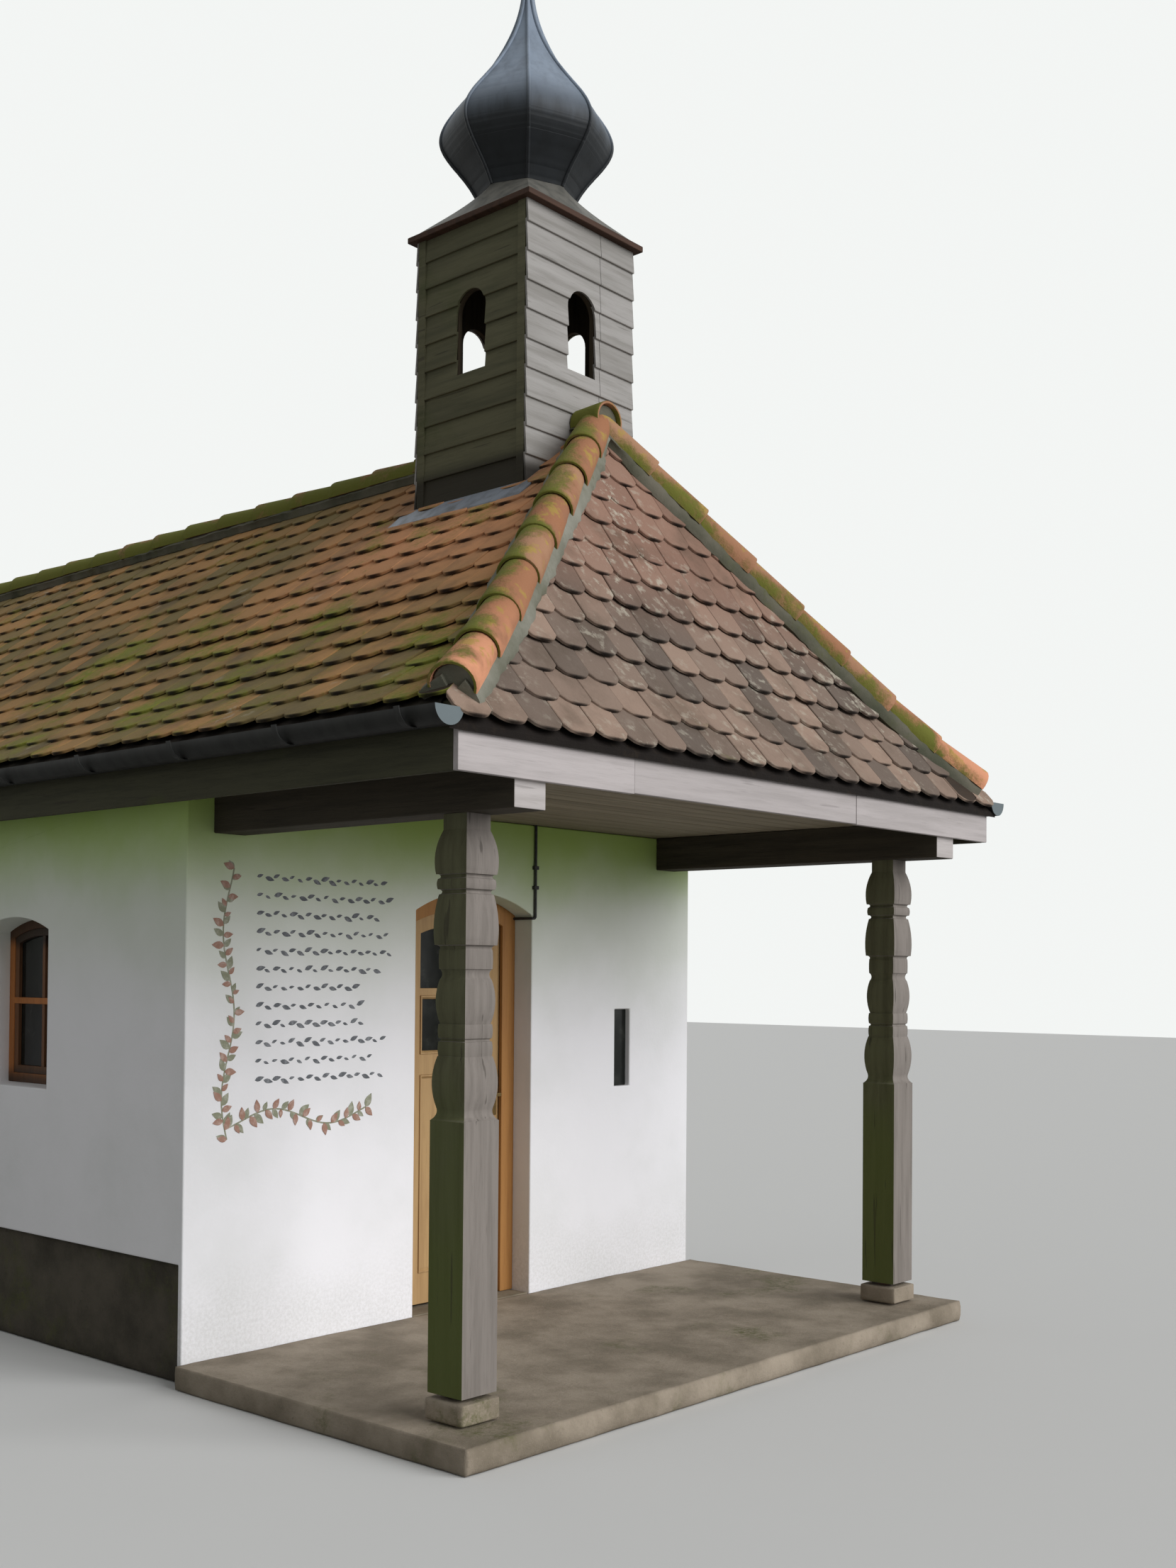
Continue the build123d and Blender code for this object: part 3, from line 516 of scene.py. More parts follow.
@dataclass(frozen=True)
class SheetMetal:
    """Weathered roofing sheet with painted shade near black below a given height, or paler on its end caps.
    """

    name: str
    pale: Colour
    dark: Colour
    # Heights between which the painted shade fades in, for the shade on down-turned lower facets.
    soot_and_shade: tuple[float, float] | None = None
    caps: Colour | None = None
    metal: float = 0.15
    roughness: float = 0.55
    # Colour of the painted shade.
    black: Colour = paint(12, 13, 11)

    def build(self) -> Finish:
        """Make the material.

        Returns:
            The material.
        """
        graph = ShaderGraph(self.name)
        _, _, height = graph.places()
        streaks = graph.noise(7.0, 5.0, 0.6, graph.scaled((2.2, 2.2, 0.35)))
        colour = graph.mix(graph.band(streaks, 0.35, 0.72), self.pale, self.dark)
        # Painted shade: near black below the given heights.
        if self.soot_and_shade:
            level = graph.plus(height, graph.times(streaks, 0.16))
            below = graph.band(level, self.soot_and_shade[1] + 0.08, self.soot_and_shade[0] + 0.08)
            colour = graph.mix(below, colour, self.black, 0.95)
        if self.caps:
            _, ends, _ = graph.facing()
            colour = graph.mix(graph.band(graph.calc("ABSOLUTE", ends), 0.7, 0.9), colour, self.caps)
        graph.relief(graph.noise(9.0, 3.0), 0.004, 0.5)
        rough = graph.plus(self.roughness - 0.1, graph.times(graph.noise(5.0, 4.0), 0.25))
        return graph.coat(colour, rough, Metallic=self.metal, Specular_IOR_Level=0.3)


@dataclass(frozen=True)
class PlainPaint:
    """One flat tone with fine wear, for small ironwork, cable and brush marks."""

    name: str
    colour: Colour
    worn: Colour
    roughness: float = 0.6
    metal: float = 0.0

    def build(self) -> Finish:
        """Make the material.

        Returns:
            The material.
        """
        graph = ShaderGraph(self.name)
        wear = graph.noise(40.0, 5.0, 0.65)
        colour = graph.mix(graph.band(wear, 0.42, 0.7), self.colour, self.worn)
        graph.relief(wear, 0.0012, 0.6)
        return graph.coat(colour, self.roughness, Metallic=self.metal)


@dataclass(frozen=True)
class PaneGlass:
    """Old window glass, its dark colour painted shade of the dark room behind it."""

    name: str = "pane_glass"
    # Painted shade: the darkness of the room behind, put in the glass's colour.
    room_shade: Colour = paint(34, 36, 34)
    dust: Colour = paint(58, 60, 56)

    def build(self) -> Finish:
        """Make the material.

        Returns:
            The material.
        """
        graph = ShaderGraph(self.name)
        graph.relief(graph.noise(6.0, 2.0), 0.002, 0.35)
        colour = graph.mix(graph.band(graph.noise(14.0, 5.0, 0.6), 0.45, 0.8), self.room_shade, self.dust)
        return graph.coat(colour, 0.12, Transmission_Weight=0.25, IOR=1.35)


def linked(name: str, data: bpy.types.ID) -> Thing:
    """New object that holds data, linked to the scene."""
    thing = bpy.data.objects.new(name, data)
    bpy.context.scene.collection.objects.link(thing)
    return thing


def carrier(mesh: Mesh) -> Thing:
    """Short-lived object that carries a mesh through its modifiers."""
    return linked("carrier", mesh)


def drop(*things: Thing) -> None:
    """Remove short-lived objects."""
    for thing in things:
        bpy.data.objects.remove(thing)


def piece(
    name: str, mesh: Mesh, *finishes: Finish, slot: str, stands_for: Sequence[str] = (), body: str = BUILDING
) -> None:
    """Put a finished mesh in the scene as a piece of the chapel.

    Args:
        name: Name of the piece.
        mesh: Its mesh, in place.
        *finishes: Materials in the order of the mesh's slots.
        slot: Material slot of the record; not used.
        stands_for: CAD nodes that it takes the place of.
        body: Body that it moves with.
    """
    slots = [face.material_index for face in mesh.polygons]
    mesh.materials.clear()
    for finish in finishes:
        mesh.materials.append(finish)
    mesh.polygons.foreach_set("material_index", slots)
    thing = linked(name, mesh)
    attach(thing, body)
    if stands_for:
        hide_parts(*stands_for)
    LOG.info("%s: %d faces on %s", name, len(mesh.polygons), body)


def dress(node: str, finish: Finish) -> None:
    """Give a CAD node that stays its finish."""
    for place in NODES[node].material_slots:
        place.material = finish
    LOG.info("%s: dressed in %s", node, finish.name)


def stored(form: Form, mesh: Mesh) -> Mesh:
    """Write a bmesh to a mesh, free it and return the mesh."""
    form.to_mesh(mesh)
    form.free()
    return mesh


def unpacked(mesh: Mesh) -> Form:
    """New bmesh with the faces of a mesh."""
    form = bmesh.new()
    form.from_mesh(mesh)
    return form


def welded(mesh: Mesh) -> Form:
    """New bmesh of a mesh, with points that lie on one another made one."""
    form = unpacked(mesh)
    bmesh.ops.remove_doubles(form, verts=form.verts, dist=WELD)
    return form


def as_mesh(name: str, form: Form, sharp: float = 35.0) -> Mesh:
    """Turn a bmesh into a mesh, smooth but for its sharp edges.

    Args:
        name: Name of the mesh.
        form: The bmesh.
        sharp: Degrees from which an edge is sharp.

    Returns:
        The mesh.
    """
    bmesh.ops.recalc_face_normals(form, faces=form.faces)
    mesh = stored(form, bpy.data.meshes.new(name))
    mesh.shade_smooth()
    mesh.set_sharp_from_angle(angle=math.radians(sharp))
    return mesh


def wire(name: str, line: Sequence[Point]) -> Mesh:
    """A line as a mesh of edges."""
    mesh = bpy.data.meshes.new(name)
    mesh.from_pydata([tuple(spot) for spot in line], [(n, n + 1) for n in range(len(line) - 1)], [])
    return mesh


def block(form: Form, low: Point, high: Point) -> Ring:
    """Add a box.

    Args:
        form: Mesh that gets it.
        low: Its lowest corner.
        high: Its highest corner.

    Returns:
        Its eight corner points.
    """
    made = bmesh.ops.create_cube(form, size=1.0)["verts"]
    middle = (Vector(low) + Vector(high)) / 2
    size = Vector(high) - Vector(low)
    for vert in made:
        vert.co = Vector(a * b for a, b in zip(vert.co, size)) + middle
    return made


def ring(form: Form, spots: Iterable[Point]) -> Ring:
    """Add points in order."""
    return [form.verts.new(spot) for spot in spots]


def skin(form: Form, rings: Sequence[Ring], closed: bool = False) -> None:
    """Join each ring to the next by a belt of faces.

    Args:
        form: Mesh that gets them.
        rings: Rings of as many points each.
        closed: Whether the last joins the first.
    """
    for lower, upper in zip(rings, [*rings[1:], *(rings[:1] if closed else [])]):
        for index in range(len(lower)):
            after = (index + 1) % len(lower)
            form.faces.new((lower[index], lower[after], upper[after], upper[index]))


def solid(form: Form, rings: Sequence[Ring]) -> None:
    """Join rings into a closed shape."""
    skin(form, rings)
    form.faces.new(rings[0])
    form.faces.new(tuple(reversed(rings[-1])))


def ladder(form: Form, outline: Ring) -> None:
    """Fill a ring whose second half runs back beside its first, rung by rung."""
    for step in range(len(outline) // 2 - 1):
        far = len(outline) - 1 - step
        form.faces.new((outline[step], outline[step + 1], outline[far - 1], outline[far]))


def cut_away(form: Form, spot: Point, outward: Point) -> None:
    """Cut off what lies beyond a plane and close what was cut.

    Args:
        form: Mesh that is cut.
        spot: Point on the plane.
        outward: Direction of what is cut off.
    """
    geometry = [*form.verts, *form.edges, *form.faces]
    made = bmesh.ops.bisect_plane(
        form, geom=geometry, plane_co=spot, plane_no=outward, clear_outer=True, dist=1e-6
    )
    edges = [part for part in made["geom_cut"] if isinstance(part, bmesh.types.BMEdge)]
    bmesh.ops.holes_fill(form, edges=edges, sides=0)


def baked(thing: Thing, name: str) -> Mesh:
    """Turn the result of an object's modifiers into a plain mesh.

    Args:
        thing: The object, which is removed.
        name: Name of the mesh.

    Returns:
        The mesh.
    """
    graph = bpy.context.evaluated_depsgraph_get()
    graph.update()
    mesh = bpy.data.meshes.new_from_object(thing.evaluated_get(graph), depsgraph=graph)
    mesh.name = name
    drop(thing)
    return mesh


def combined(mesh: Mesh, others: Sequence[Mesh], operation: str, crossing: bool = False) -> Mesh:
    """Mesh joined with other closed meshes, or with them taken out of it.

    Args:
        mesh: Mesh to start from.
        others: The other meshes.
        operation: UNION to join, DIFFERENCE to take out.
        crossing: Whether parts of the mesh may cross one another.

    Returns:
        The result.
    """
    thing = carrier(mesh)
    tools = [carrier(other) for other in others]
    for tool in tools:
        step = thing.modifiers.new("combine", "BOOLEAN")
        step.operation, step.solver, step.object, step.use_self = operation, "EXACT", tool, crossing
    result = baked(thing, mesh.name)
    drop(*tools)
    return result


def node_mesh(*nodes: str) -> Mesh:
    """Make a closed mesh of CAD nodes, with its flat faces merged.

    Args:
        *nodes: Names of the nodes, joined where they touch.

    Returns:
        The mesh.
    """
    first, *others = [as_mesh(node, welded(NODES[node].data)) for node in nodes]
    mesh = combined(first, others, "UNION")
    form = welded(mesh)
    bmesh.ops.dissolve_limit(form, angle_limit=math.radians(0.6), verts=form.verts, edges=form.edges)
    return stored(form, mesh)


def eased(mesh: Mesh, width: float, steps: int = 2, angle: float = 28.0) -> Mesh:
    """Mesh with its edges rounded, as the real ones are.

    Args:
        mesh: Closed mesh.
        width: Width of the rounding.
        steps: Faces across it.
        angle: Degrees from which an edge counts as sharp.

    Returns:
        The new mesh, its wide faces shaded as level.
    """
    mesh.shade_smooth()
    thing = carrier(mesh)
    bevel = thing.modifiers.new("ease", "BEVEL")
    bevel.width, bevel.segments = width, steps
    bevel.limit_method, bevel.angle_limit = "ANGLE", math.radians(angle)
    bevel.use_clamp_overlap = bevel.harden_normals = True
    result = baked(thing, mesh.name)
    level = [corner.vector.copy() for corner in result.corner_normals]
    for face in result.polygons:
        if face.area > 0.01 or max(abs(part) for part in face.normal) > 0.99999:
            for corner in face.loop_indices:
                level[corner] = face.normal
    result.normals_split_custom_set(level)
    return result


def weathered(mesh: Mesh, voxel: float, depth: float, lumps: float) -> Mesh:
    """Mesh remade in small faces, its surface worn unevenly.

    Args:
        mesh: Closed mesh.
        voxel: Size of the new faces.
        depth: Deepest wear.
        lumps: Lumps to a metre.

    Returns:
        The worn mesh.
    """
    thing = carrier(mesh)
    remesh = thing.modifiers.new("remesh", "REMESH")
    remesh.mode, remesh.voxel_size, remesh.use_smooth_shade = "VOXEL", voxel, True
    result = baked(thing, mesh.name)
    form = unpacked(result)
    form.normal_update()
    moves = []
    for vert in form.verts:
        big = noise.noise(vert.co * lumps)
        small = noise.noise(vert.co * lumps * 4.3)
        moves.append(vert.normal * (-0.5 - 0.35 * big - 0.15 * small) * depth)
    for vert, move in zip(form.verts, moves):
        vert.co += move
    stored(form, result).shade_smooth()
    return result


def ease_node(
    node: str, width: float, finish: Finish, slot: str, body: str = BUILDING, name: str = ""
) -> None:
    """Put in a CAD node with its edges rounded by width, under a name where one is given."""
    mesh = eased(node_mesh(node), width)
    piece(name or f"{node}_eased", mesh, finish, stands_for=[node], body=body, slot=slot)


def wear_node(
    node: str, voxel: float, depth: float, finish: Finish, slot: str, lumps: float = 5.0
) -> None:
    """Put in a CAD node with its surface worn, by the terms of weathered."""
    mesh = weathered(node_mesh(node), voxel, depth, lumps)
    piece(f"{node}_worn", mesh, finish, stands_for=[node], slot=slot)


def extent(node: str) -> tuple[Vector, Vector]:
    """Lowest and highest corner of a CAD node."""
    low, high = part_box(node)
    return (Vector(low), Vector(high))


class Pattern(Sums):
    """A geometry node tree for what repeats, with named inputs for its sizes."""

    def __init__(self, name: str) -> None:
        """Start a tree with one geometry input and one geometry output.

        Args:
            name: Name of the tree.
        """
        self.tree = bpy.data.node_groups.new(name, "GeometryNodeTree")
        self.inputs = self.tree.nodes.new("NodeGroupInput")
        self.known: dict[str, str] = {}
        self.sizes("Geometry", "Base")
        self.tree.interface.new_socket("Result", in_out="OUTPUT", socket_type="NodeSocketGeometry")

    def sizes(self, kind: str, *names: str) -> list[Socket]:
        """Add named inputs.

        Args:
            kind: Kind of value, such as Float, Int, Object or Material.
            *names: Names of the inputs.

        Returns:
            Their sockets in the tree.
        """
        for name in names:
            made = self.tree.interface.new_socket(name, in_out="INPUT", socket_type=f"NodeSocket{kind}")
            self.known[name] = made.identifier
        return [self.inputs.outputs[name] for name in names]

    def add(self, kind: str, values: dict[str, Value] | None = None, **settings: str) -> bpy.types.Node:
        """Add a node.

        Args:
            kind: Name of the node's type, without its leading words.
            values: Value or link for each input.
            **settings: Plain properties of the node.

        Returns:
            The node.
        """
        lead = "" if kind.startswith(("Function", "Shader")) else "GeometryNode"
        node = self.tree.nodes.new(lead + kind)
        for name, setting in settings.items():
            setattr(node, name, setting)
        for name, value in (values or {}).items():
            self.put(node.inputs[name], value)
        return node

    def made(self, kind: str, values: dict[str, Value] | None = None, **settings: str) -> Socket:
        """First output of a node that is added as add does it."""
        return self.add(kind, values, **settings).outputs[0]

    def point(self, x: Value = 0.0, y: Value = 0.0, z: Value = 0.0) -> Socket:
        """Vector of three values."""
        return self.made("ShaderNodeCombineXYZ", {"X": x, "Y": y, "Z": z})

    def chance(self, low: float, high: float, step: float, key: Socket | None = None) -> Socket:
        """Draw a random number for each point.

        Args:
            low: Lowest number.
            high: Highest number.
            step: What is added to the tree's seed.
            key: What tells the points apart, their index where it is None.

        Returns:
            The number.
        """
        seed = self.plus(self.inputs.outputs["Seed"], step)
        values = {"Min": low, "Max": high, "Seed": seed}
        if key:
            values["ID"] = key
        return self.add("FunctionNodeRandomValue", values, data_type="FLOAT").outputs[1]

    def index(self) -> Socket:
        """Number of each point."""
        return self.made("InputIndex")

    def line(self) -> Socket:
        """Curve of the base mesh."""
        return self.made("MeshToCurve", {"Mesh": self.inputs.outputs["Base"]})

    def sampled(self, step: float, length: Socket) -> tuple[Axes, Axes]:
        """Place and heading at a length along the base line, which is cut into steps first."""
        cut = self.made("ResampleCurve", {"Curve": self.line(), "Length": step}, mode="LENGTH")
        sample = self.add("SampleCurve", {"Curves": cut, "Length": length}, mode="LENGTH")
        return (self.axes(sample.outputs["Position"]), self.axes(sample.outputs["Tangent"]))

    def row(self, count: Socket, step: Value = (0.0, 0.0, 1.0)) -> Socket:
        """Points in a row, each a step from the one before."""
        line = self.made("MeshLine", {"Count": count, "Offset": step}, mode="OFFSET")
        return self.made("MeshToPoints", {"Mesh": line})

    def moved(self, points: Socket, **values: Value) -> Socket:
        """Points set to a Position, or moved by an Offset."""
        return self.made("SetPosition", {"Geometry": points, **values})

    def toned(self, points: Socket, tone: Socket) -> Socket:
        """Points that store how dark what stands on them is."""
        values = {"Geometry": points, "Name": "tone", "Value": tone}
        return self.made("StoreNamedAttribute", values, data_type="FLOAT", domain="POINT")

    def shape(self, thing: Socket) -> Socket:
        """Geometry of an object input."""
        return self.add("ObjectInfo", {"Object": thing}).outputs["Geometry"]

    def place(self, points: Socket, shape: Socket, **values: Value) -> Pattern:
        """Set a shape on each point, make the instances real, give them their finish and close the tree.

        Args:
            points: The points.
            shape: Geometry of the shape.
            **values: Other inputs of the instancing node, named with _ for a space.

        Returns:
            The finished tree.
        """
        named = {name.replace("_", " "): value for name, value in values.items()}
        placed = self.made("InstanceOnPoints", {"Points": points, "Instance": shape, **named})
        real = self.made("RealizeInstances", {"Geometry": placed})
        (finish,) = self.sizes("Material", "Finish")
        dressed = self.made("SetMaterial", {"Geometry": real, "Material": finish})
        self.put(self.tree.nodes.new("NodeGroupOutput").inputs["Result"], dressed)
        return self

    def run(self, name: str, values: dict[str, object], base: Mesh | None = None) -> Mesh:
        """Run the tree.

        Args:
            name: Name of the result.
            values: Value for each named input.
            base: Mesh that the tree starts from, where it needs one.

        Returns:
            The result as a plain mesh.
        """
        thing = carrier(base or bpy.data.meshes.new("base"))
        modifier = thing.modifiers.new("pattern", "NODES")
        modifier.node_group = self.tree
        for key, value in values.items():
            modifier[self.known[key]] = value
        mesh = baked(thing, name)
        mesh.polygons.foreach_set("material_index", [0] * len(mesh.polygons))
        return mesh


@dataclass
class RoofForm:
    """Lines of the main roof, read from the frame, with its bell-cast foot."""

    bell_cast: tuple[tuple[float, float], ...] = ((0.14, 34.5), (0.30, 39.0))
    plumb: float = 0.045
    half: float = field(init=False)
    front: float = field(init=False)
    apron: float = field(init=False)
    eaves: float = field(init=False)
    end_eaves: float = field(init=False)
    ridge: float = field(init=False)
    corner_front: float = field(init=False)
    hip_run: float = field(init=False)

    def __post_init__(self) -> None:
        """Read the roof's corners from the CAD nodes."""
        low, high = extent("roof_left")
        end_low, end_high = extent("roof_front")
        self.half, self.ridge = -low.x, high.z
        self.front, self.corner_front = end_low.y, low.y
        self.hip_run = end_high.y - low.y
        self.apron = self.corner_front - self.front
        first_share, first_pitch = self.bell_cast[0]
        slope = first_share * self.half * math.tan(math.radians(first_pitch))
        self.end_eaves = end_low.z + self.plumb
        self.eaves = self.end_eaves + self.apron * slope / (first_share * self.hip_run)

    def heights(self) -> list[tuple[float, float]]:
        """Bends of the slope from the eaves up.

        Returns:
            Share of the run and height at each.
        """
        points = [(0.0, self.eaves)]
        before = 0.0
        for share, pitch in self.bell_cast:
            rise = (share - before) * self.half * math.tan(math.radians(pitch))
            points.append((share, points[-1][1] + rise))
            before = share
        return [*points, (1.0, self.ridge)]

    def side_line(self) -> list[Point]:
        """Section of a side slope: run inwards, 0, height."""
        return [(share * self.half, 0.0, z) for share, z in self.heights()]

    def end_line(self) -> list[Point]:
        """Section of an end slope with its apron, in the same terms."""
        line = [(self.apron + share * self.hip_run, 0.0, z) for share, z in self.heights()]
        return [(0.0, 0.0, self.end_eaves), *line[1:]]

    def length_at(self, share: float) -> float:
        """Distance from the middle of the roof to its hips, share of the way up."""
        return -self.corner_front - self.hip_run * share

    def hip_line(self, side: int, end: int) -> list[Vector]:
        """Points of a hip from its corner to the apex.

        Args:
            side: -1 or 1, the corner's side along X.
            end: -1 or 1, the corner's end along Y.

        Returns:
            The points.
        """
        return [
            Vector((side * self.half * (1 - share), end * self.length_at(share), z))
            for share, z in self.heights()
        ]


@dataclass
class TiledSlopes:
    """The four slopes: plain tiles with rounded tails in overlapping courses."""

    roof: RoofForm
    width: float = 0.178
    gauge: float = 0.160
    length: float = 0.250
    thickness: float = 0.013
    joint: float = 0.004
    tail: float = 0.042
    chamfer: float = 0.003
    drop: float = -0.004
    deck_drop: float = 0.027
    deck_setback: float = 0.020
    deck_thickness: float = 0.022

    def tile(self, seed: int) -> Thing:
        """Make one tile, its tail at the origin and its head along +X.

        Args:
            seed: Number that fixes how uneven it is.

        Returns:
            The tile.
        """
        rng = random.Random(seed)
        form = bmesh.new()
        half = (self.width - self.joint) / 2
        steps = 7
        outline = [(self.length, half), (self.length, -half)]
        for step in range(steps + 1):
            share = step / steps
            bow = 1 - math.sqrt(max(0.0, 1 - (0.97 * (2 * share - 1)) ** 2))
            outline.append((self.tail * bow * 1.25 + rng.uniform(0, 0.0015), -half + 2 * half * share))
        rings = []
        for inset, z in ((0.0, 0.0), (0.0, self.thickness - self.chamfer), (self.chamfer, self.thickness)):
            drawn = [(x + (inset if x < self.length / 2 else 0), y * (1 - inset / half)) for x, y in outline]
            rings.append(ring(form, ((x, y, z) for x, y in drawn)))
        form.faces.new(reversed(rings[0]))
        form.faces.new(rings[-1])
        skin(form, rings)
        uv = form.loops.layers.uv.new("UVMap")
        for face in form.faces:
            for loop in face.loops:
                loop[uv].uv = (loop.vert.co.y / self.width + 0.5, loop.vert.co.x / self.gauge)
        return carrier(as_mesh("tile", form, 30.0))

    def pattern(self) -> Pattern:
        """Make the tree that lays tiles in courses up a section line.

        Returns:
            The tree, which takes the section along X and Z.
        """
        tree = Pattern("tile_courses")
        columns, courses, _ = tree.sizes("Int", "Columns", "Courses", "Seed")
        width, gauge, half_eaves, taper, tilt, lift = tree.sizes(
            "Float", "Tile width", "Gauge", "Half eaves", "Taper", "Lap tilt", "Lift"
        )
        tiles = tree.sizes("Object", "Tile A", "Tile B", "Tile C")
        index = tree.index()
        course = tree.calc("FLOOR", tree.calc("DIVIDE", tree.plus(index, 0.5), columns))
        column = tree.less(index, tree.times(course, columns))
        stagger = tree.times(tree.calc("MODULO", course, 2.0), 0.5)
        across = tree.times(tree.less(tree.plus(column, stagger), tree.times(columns, 0.5)), width)
        (run, _, height), (over, _, up) = tree.sampled(0.02, tree.times(course, gauge))
        pitch = tree.calc("ARCTAN2", up, over)
        sag = tree.chance(-0.0022, 0.0022, 4.0, index)
        rise = tree.plus(tree.times(lift, tree.calc("COSINE", pitch)), sag)
        back = tree.times(lift, tree.calc("SINE", pitch))
        slip = tree.chance(-0.004, 0.004, 1.0, index)
        spot = tree.point(tree.plus(tree.less(run, back), slip), across, tree.plus(height, rise))
        laid = tree.moved(tree.row(tree.times(columns, courses)), Position=spot)
        laid = tree.toned(laid, tree.chance(0.0, 1.0, 2.0, index))
        reach = tree.less(half_eaves, tree.times(run, taper))
        edge = tree.plus(reach, tree.times(width, 0.55))
        beyond = tree.calc("GREATER_THAN", tree.calc("ABSOLUTE", across), edge)
        kept = tree.made("DeleteGeometry", {"Geometry": laid, "Selection": beyond})
        choice = tree.add("GeometryToInstance")
        for tile in reversed(tiles):
            tree.put(choice.inputs[0], tree.shape(tile))
        pick = tree.add("FunctionNodeRandomValue", {"Min": 0, "Max": len(tiles) - 1}, data_type="INT")
        turn = tree.point(0.0, tree.less(tilt, pitch), tree.chance(-0.014, 0.014, 3.0, index))
        return tree.place(
            kept, choice.outputs[0], Pick_Instance=True, Instance_Index=pick.outputs[2], Rotation=turn
        )

    def deck(self, line: Sequence[Point], half_eaves: float, taper: float) -> Mesh:
        """Boards under the tiles of one slope, set back from the tiles' tails.

        Args:
            line: Section of the slope.
            half_eaves: Half the length of its eaves.
            taper: How fast it narrows on each side with its run.

        Returns:
            Their mesh.
        """
        form = bmesh.new()
        slope = (line[-1][2] - line[0][2]) / (line[-1][0] - line[0][0])
        drop_plumb = self.deck_drop * math.hypot(1.0, slope)
        rings = []
        for index, (run, _, z) in enumerate(line):
            back = 0.0 if index else self.deck_setback
            reach = max(half_eaves - (run + back) * taper - drop_plumb, 0.001)
            top = z - drop_plumb + back * slope * 0.8
            foot = top - self.deck_thickness
            corners = ((-reach, top), (reach, top), (reach, foot), (-reach, foot))
            rings.append(ring(form, ((run + back, y, height) for y, height in corners)))
        solid(form, rings)
        return as_mesh("deck", form)

    def build(self) -> None:
        """Lay every slope, cut it along its hips and put it on the roof."""
        roof = self.roof
        tree = self.pattern()
        tiles = [self.tile(seed) for seed in (3, 5, 8)]
        mossy = RoofClay(
            "mossy_clay", paint(172, 131, 85), paint(120, 105, 67), paint(206, 146, 106),
            moss_share=0.80, lichen_share=0.15,
        ).build()
        lichened = RoofClay(
            "lichened_clay", paint(150, 128, 113), paint(98, 87, 79), paint(142, 108, 92),
            moss=paint(124, 120, 70), moss_share=0.12, lichen_share=1.0,
        ).build()
        under = Timber("roof_boards", Grain.X, paint(58, 46, 36), paint(34, 28, 22)).build()
        taper = roof.half / roof.hip_run
        flank = (roof.side_line(), -roof.corner_front, roof.hip_run / roof.half, -roof.half, mossy)
        gable = (roof.end_line(), roof.half + roof.apron * taper, taper, roof.front, lichened)
        for name, turn, seed, limit, (line, half_eaves, taper, start, clay) in (
            ("roof_left", 0.0, 11, -roof.corner_front, flank),
            ("roof_right", 180.0, 23, -roof.corner_front, flank),
            ("roof_front", 90.0, 37, roof.half, gable),
            ("roof_rear", -90.0, 41, roof.half, gable),
        ):
            length = sum(math.dist(a, b) for a, b in zip(line, line[1:]))
            values = {
                "Columns": 2 * math.ceil(half_eaves / self.width) + 2,
                "Courses": int(length / self.gauge),
                "Tile width": self.width,
                "Gauge": self.gauge,
                "Half eaves": half_eaves,
                "Taper": taper,
                "Lap tilt": math.asin(self.thickness / self.gauge),
                "Lift": self.drop,
                "Seed": seed,
                **{f"Tile {letter}": tile for letter, tile in zip("ABC", tiles)},
                "Finish": clay,
            }
            laid = tree.run(name, values, wire("section", line))
            form = unpacked(laid)
            for side in (-1, 1):
                cut_away(form, (0.0, side * half_eaves, 0.0), (taper, side, 0.0))
                cut_away(form, (0.0, side * limit, 0.0), (0.0, side, 0.0))
            above = len(form.faces)
            form.from_mesh(self.deck(line, half_eaves, taper))
            form.faces.ensure_lookup_table()
            for face in form.faces[above:]:
                face.material_index = 1
            turned = Matrix.Rotation(math.radians(turn), 4, "Z")
            form.transform(turned @ Matrix.Translation((start, 0.0, 0.0)))
            stored(form, laid).set_sharp_from_angle(angle=math.radians(30.0))
            piece(f"{name}_tiles", laid, clay, under, stands_for=[name], slot="roof_tiles")
        drop(*tiles)


